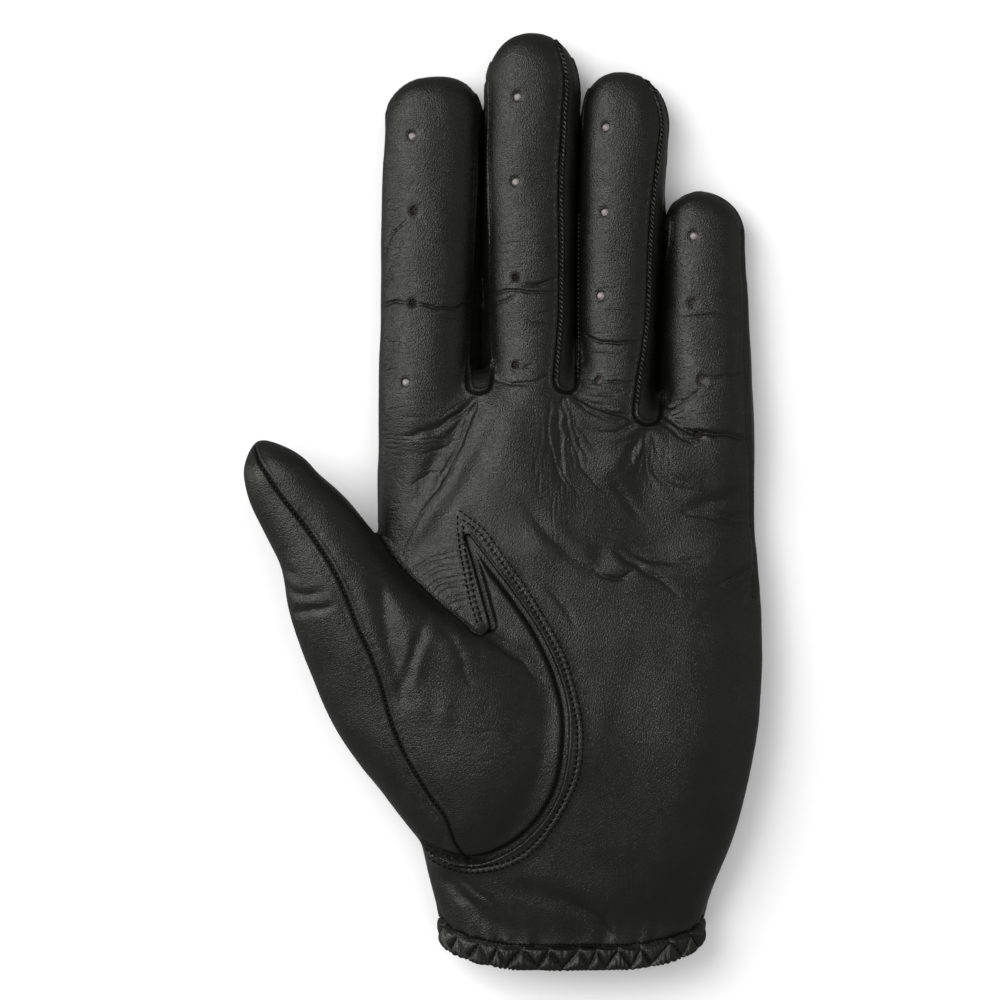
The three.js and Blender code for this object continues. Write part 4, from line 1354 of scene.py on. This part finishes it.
def hem_shell():
    """The gathered hem: a band of folded hide round the wrist, puffed between its zigzag stitches."""
    centre_x, centre_z, half, tall = wrist_section()
    angle = 2 * np.pi * np.arange(HEM["steps"]) / HEM["steps"]
    x0 = centre_x + half * boxy(np.cos(angle))
    z0 = np.maximum(centre_z + tall * boxy(np.sin(angle)), 0)
    step = np.hypot(np.diff(x0, append=x0[0]), np.diff(z0, append=z0[0]))
    around = np.concatenate([[0], np.cumsum(step)[:-1]])
    total = step.sum()
    turn = around / total * 2 * np.pi
    cells = round(total / HEM["pitch"])
    cell = turn / (2 * np.pi) * cells + 0.16 * np.sin(5 * turn) + 0.09 * np.sin(13 * turn + 1)
    top, bottom = HEM["zigzag"]
    zigzag = top + (bottom - top) * np.abs((cell % 1) * 2 - 1)
    sizes = np.random.default_rng(3).uniform(0.45, 1.25, 2 * cells)
    amount = np.interp((cell * 2) % (2 * cells), np.arange(2 * cells + 1), np.append(sizes, sizes[0]))
    wrinkle = np.sin(round(total / HEM["wrinkle"]) * turn + 2.2 * np.sin(17 * turn))
    wrinkle *= 0.65 + 0.35 * np.sin(11 * turn + 2)
    profile = []
    for v in np.linspace(0, 1, HEM["rows"]):
        gap = np.abs(v - zigzag) * HEM["height"] * 0.62
        puff = 0.62 * amount * np.sin(np.pi * v) ** 0.6 * (1 - bell(gap, 1.1))
        fine = 0.2 * wrinkle * (0.25 + 0.75 * v) * (1 - bell(gap, 0.6))
        roll = 1.1 * (1 - np.sqrt(np.maximum(0, 1 - (2 * max(0, v - 0.5)) ** 4)))
        deep = 0.45 * bell(gap, 0.4) + roll + 0.9 * bell(v, 0.07) - puff - fine + 0.3
        uneven = 0.3 * (amount - 0.85) + 0.04 * wrinkle
        profile.append((deep, HEM["height"] * v + uneven * v))
    for v in HEM["inner_rows"]:
        profile.append((HEM["thickness"], HEM["height"] * v))
    hollow_x, _, hollow_width, _, hollow_height = WRIST_HOLLOW
    rings = []
    for deep, along in profile:
        out = HEM["proud"] - deep
        z = centre_z + (tall + out) * boxy(np.sin(angle))
        x = centre_x + (half + out) * boxy(np.cos(angle))
        floor = HEM["clear"] + np.maximum(deep + 0.3, 0) * 0.9
        y = hem_line(np.clip(z, 0, 2 * WRIST["middle"])) - along - 0.1
        upper = ease(centre_z, centre_z + 0.8 * tall, z)
        z += hollow_height * bell(x - hollow_x, hollow_width) * upper
        rings.append(np.column_stack([x, y, np.maximum(z, floor)]))
    grid = np.array(rings).transpose(1, 0, 2)
    here = np.arange(grid.shape[0] * grid.shape[1]).reshape(grid.shape[:2])
    right = np.roll(here, -1, axis=0)
    faces = triangles(here, right, np.roll(right, -1, axis=1), np.roll(here, -1, axis=1))
    return grid, zigzag, faces


def hem_stitches(grid, zigzag):
    """The zigzag thread on the hem, laid in its grooves."""
    exact = zigzag * (HEM["rows"] - 1)
    row = exact.astype(int)
    column = np.arange(len(row))
    start = grid[column, row]
    track = start + (grid[column, row + 1] - start) * (exact - row)[:, None]
    track[:, 2] = np.maximum(track[:, 2], 0.3)
    centre = track.mean(axis=0)
    along = lengths_along(track)
    stitches = []
    pitch, length, thickness = STITCHES["hem"]
    for at in np.arange(0.6, along[-1], pitch):
        start, end = (place_on(track, along, at + d) for d in (-length / 2, length / 2))
        stitches.append(stitch(start, end, (start - centre) * (0.25, 0, 1), thickness))
    return joined(stitches)


def lining_strip(finger, find):
    """The lining behind a finger's holes: a thin strip that bulges into the holes it lies close to."""
    holes = np.array(finger["holes"])
    ys = np.arange(holes[-1, 1] - LINING["past"], holes[0, 1] + LINING["past"], 0.5)
    xs = np.arange(-LINING["half_width"], LINING["half_width"] + 0.1, 0.6)
    middle = np.interp(ys, holes[::-1, 1], holes[::-1, 0])
    top = np.zeros((len(ys), len(xs), 3))
    for i, y in enumerate(ys):
        for j, x in enumerate(xs):
            hit = find(middle[i] + x, y)
            top[i, j] = middle[i] + x, y, hit[0][2] if hit is not None else 0
    height = top[:, :, 2]
    gaps = [np.hypot(top[:, :, 0] - x, top[:, :, 1] - y) for x, y, _ in holes]
    clear = np.min(gaps, axis=0) > HOLE_RADIUS + 0.5
    height[~clear] = height[clear].mean()
    for _ in range(60):
        pad = np.pad(height, 1, mode="edge")
        mean = (pad[:-2, 1:-1] + pad[2:, 1:-1] + pad[1:-1, :-2] + pad[1:-1, 2:]) / 4
        height = np.where(clear, height, mean)
    loose = LEATHER + LINING["gap"]
    under = np.full(height.shape, loose)
    for gap, (_, _, depth) in zip(gaps, holes):
        reach = 1.15 if depth < loose else 2.6
        under += (depth - under) * (1 - ease(reach - 0.85, reach, gap))
    top[:, :, 2] = height - under
    bottom = top - (0, 0, LINING["thickness"])
    grid = np.arange(height.size).reshape(height.shape)
    upper = triangles(grid[:-1, :-1], grid[:-1, 1:], grid[1:, 1:], grid[1:, :-1])
    rim = np.concatenate([grid[0], grid[1:, -1], grid[-1, -2::-1], grid[-2:0:-1, 0]])
    after = np.roll(rim, -1)
    sides = triangles(after, rim, rim + grid.size, after + grid.size)
    faces = np.concatenate([upper, upper[:, ::-1] + grid.size, sides])
    return np.vstack([top.reshape(-1, 3), bottom.reshape(-1, 3)]), faces


# Building

leather = leather_material("leather", LOOKS["leather"], 0.38)
hem_leather = leather_material("hem_leather", tuple(0.85 * c for c in LOOKS["leather"]), 0.36)
thread = thread_material("thread")
painted_glint_thread = thread_material("painted_glint_thread")
lining = lining_material()

skin_points, skin_faces, skin_piece = build_skin()
skin_inner = inner_side(skin_points, skin_faces)
find_skin = height_finder(skin_points, skin_faces)
for number, (node, limit) in enumerate(PIECES.items()):
    solid = thickened(skin_points, skin_inner, skin_faces[skin_piece == number], limit)
    piece = place(f"{node}_leather", solid, leather, "leather", [node])
    paint_patches(piece.data, *solid)

hem_grid, hem_zigzag, hem_faces = hem_shell()
place("hem_leather", (hem_grid.reshape(-1, 3), hem_faces), hem_leather, "hem_leather", ["wrist_hem"])
place("hem_stitches", hem_stitches(hem_grid, hem_zigzag), thread, "hem_leather")

for finger_name, finger in FINGERS.items():
    strip = lining_strip(finger, find_skin)
    place(f"{finger_name}_lining", strip, lining, "lining", [f"lining_{finger_name}"])

rows = [stitch_row(row, find_skin, STITCHES["thumb"]) for row in stitch_lines()]
rows.append(stitch_row(smooth_line(THUMB_SIDE_SEAM), find_skin, STITCHES["thumb_side"], sink=0.3))
rows.append(stitch_row(hem_row(), find_skin, STITCHES["hem_row"]))
place("thumb_stitches", joined(rows), thread, "leather")

# Pale stitches along the ring finger's seam: a painted highlight, pale thread that stands for glints of
# light in the dark gap there
dashes = smooth_line(FORK_SEAMS["middle_ring"]["far"])
dashes = shifted(dashes[dashes[:, 1] < PAINTED_GLINT_END], -0.3)
place("painted_glint_stitches", stitch_row(dashes, find_skin, STITCHES["pale"], sink=0.3), painted_glint_thread, "leather")

finger_rows = []
for fork in ("middle_ring", "ring_little"):
    seam = shifted(smooth_line(FORK_SEAMS[fork]["near"]), 0.42)
    finger_rows.append(stitch_row(seam, find_skin, STITCHES["finger"], sink=0.12, slant=0.3))
place("finger_stitches", joined(finger_rows), thread, "leather")

# Floor, lights and camera

bpy.ops.mesh.primitive_plane_add(size=3.0, location=(0, 0, 0))
floor = bpy.context.object
floor.name = "floor"
floor_look = {"Base Color": (*LOOKS["floor"], 1), "Roughness": 0.85, "Specular IOR Level": 0.2}
floor.data.materials.append(new_material("floor", floor_look)[0])
floor.visible_glossy = False
floor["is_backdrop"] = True

for name, (spot, target, size, power, shine) in LIGHTS.items():
    light_data = bpy.data.lights.new(name, "AREA")
    light_data.shape = "RECTANGLE"
    light_data.size, light_data.size_y = size
    light_data.energy = power
    light = linked(name, light_data)
    light.location = spot
    light.rotation_euler = (Vector(target) - Vector(spot)).to_track_quat("-Z", "Y").to_euler()
    light.visible_glossy = shine

world = bpy.data.worlds.new("studio")
world.use_nodes = True
world.node_tree.nodes["Background"].inputs["Color"].default_value = (1, 1, 1, 1)
world.node_tree.nodes["Background"].inputs["Strength"].default_value = 0.22
bpy.context.scene.world = world
bpy.context.scene.view_settings.view_transform = "Standard"

camera_data = bpy.data.cameras.new("camera")
camera_data.lens = 150
camera_data.sensor_width = 36
camera_data.clip_end = 10
camera = linked("camera", camera_data)
camera_height = PHOTO_SIZE * PIXEL * MM * camera_data.lens / camera_data.sensor_width
camera.location = (
    (PHOTO_SIZE / 2 - PHOTO_MIDDLE[0]) * PIXEL * MM,
    (PHOTO_MIDDLE[1] - PHOTO_SIZE / 2) * PIXEL * MM,
    camera_height + SCALE_HEIGHT,
)
bpy.context.scene.camera = camera

boxes = {"cad": cad_box, "visual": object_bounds()}
{name: [[float(v) for v in corner] for corner in box] for name, box in boxes.items()}
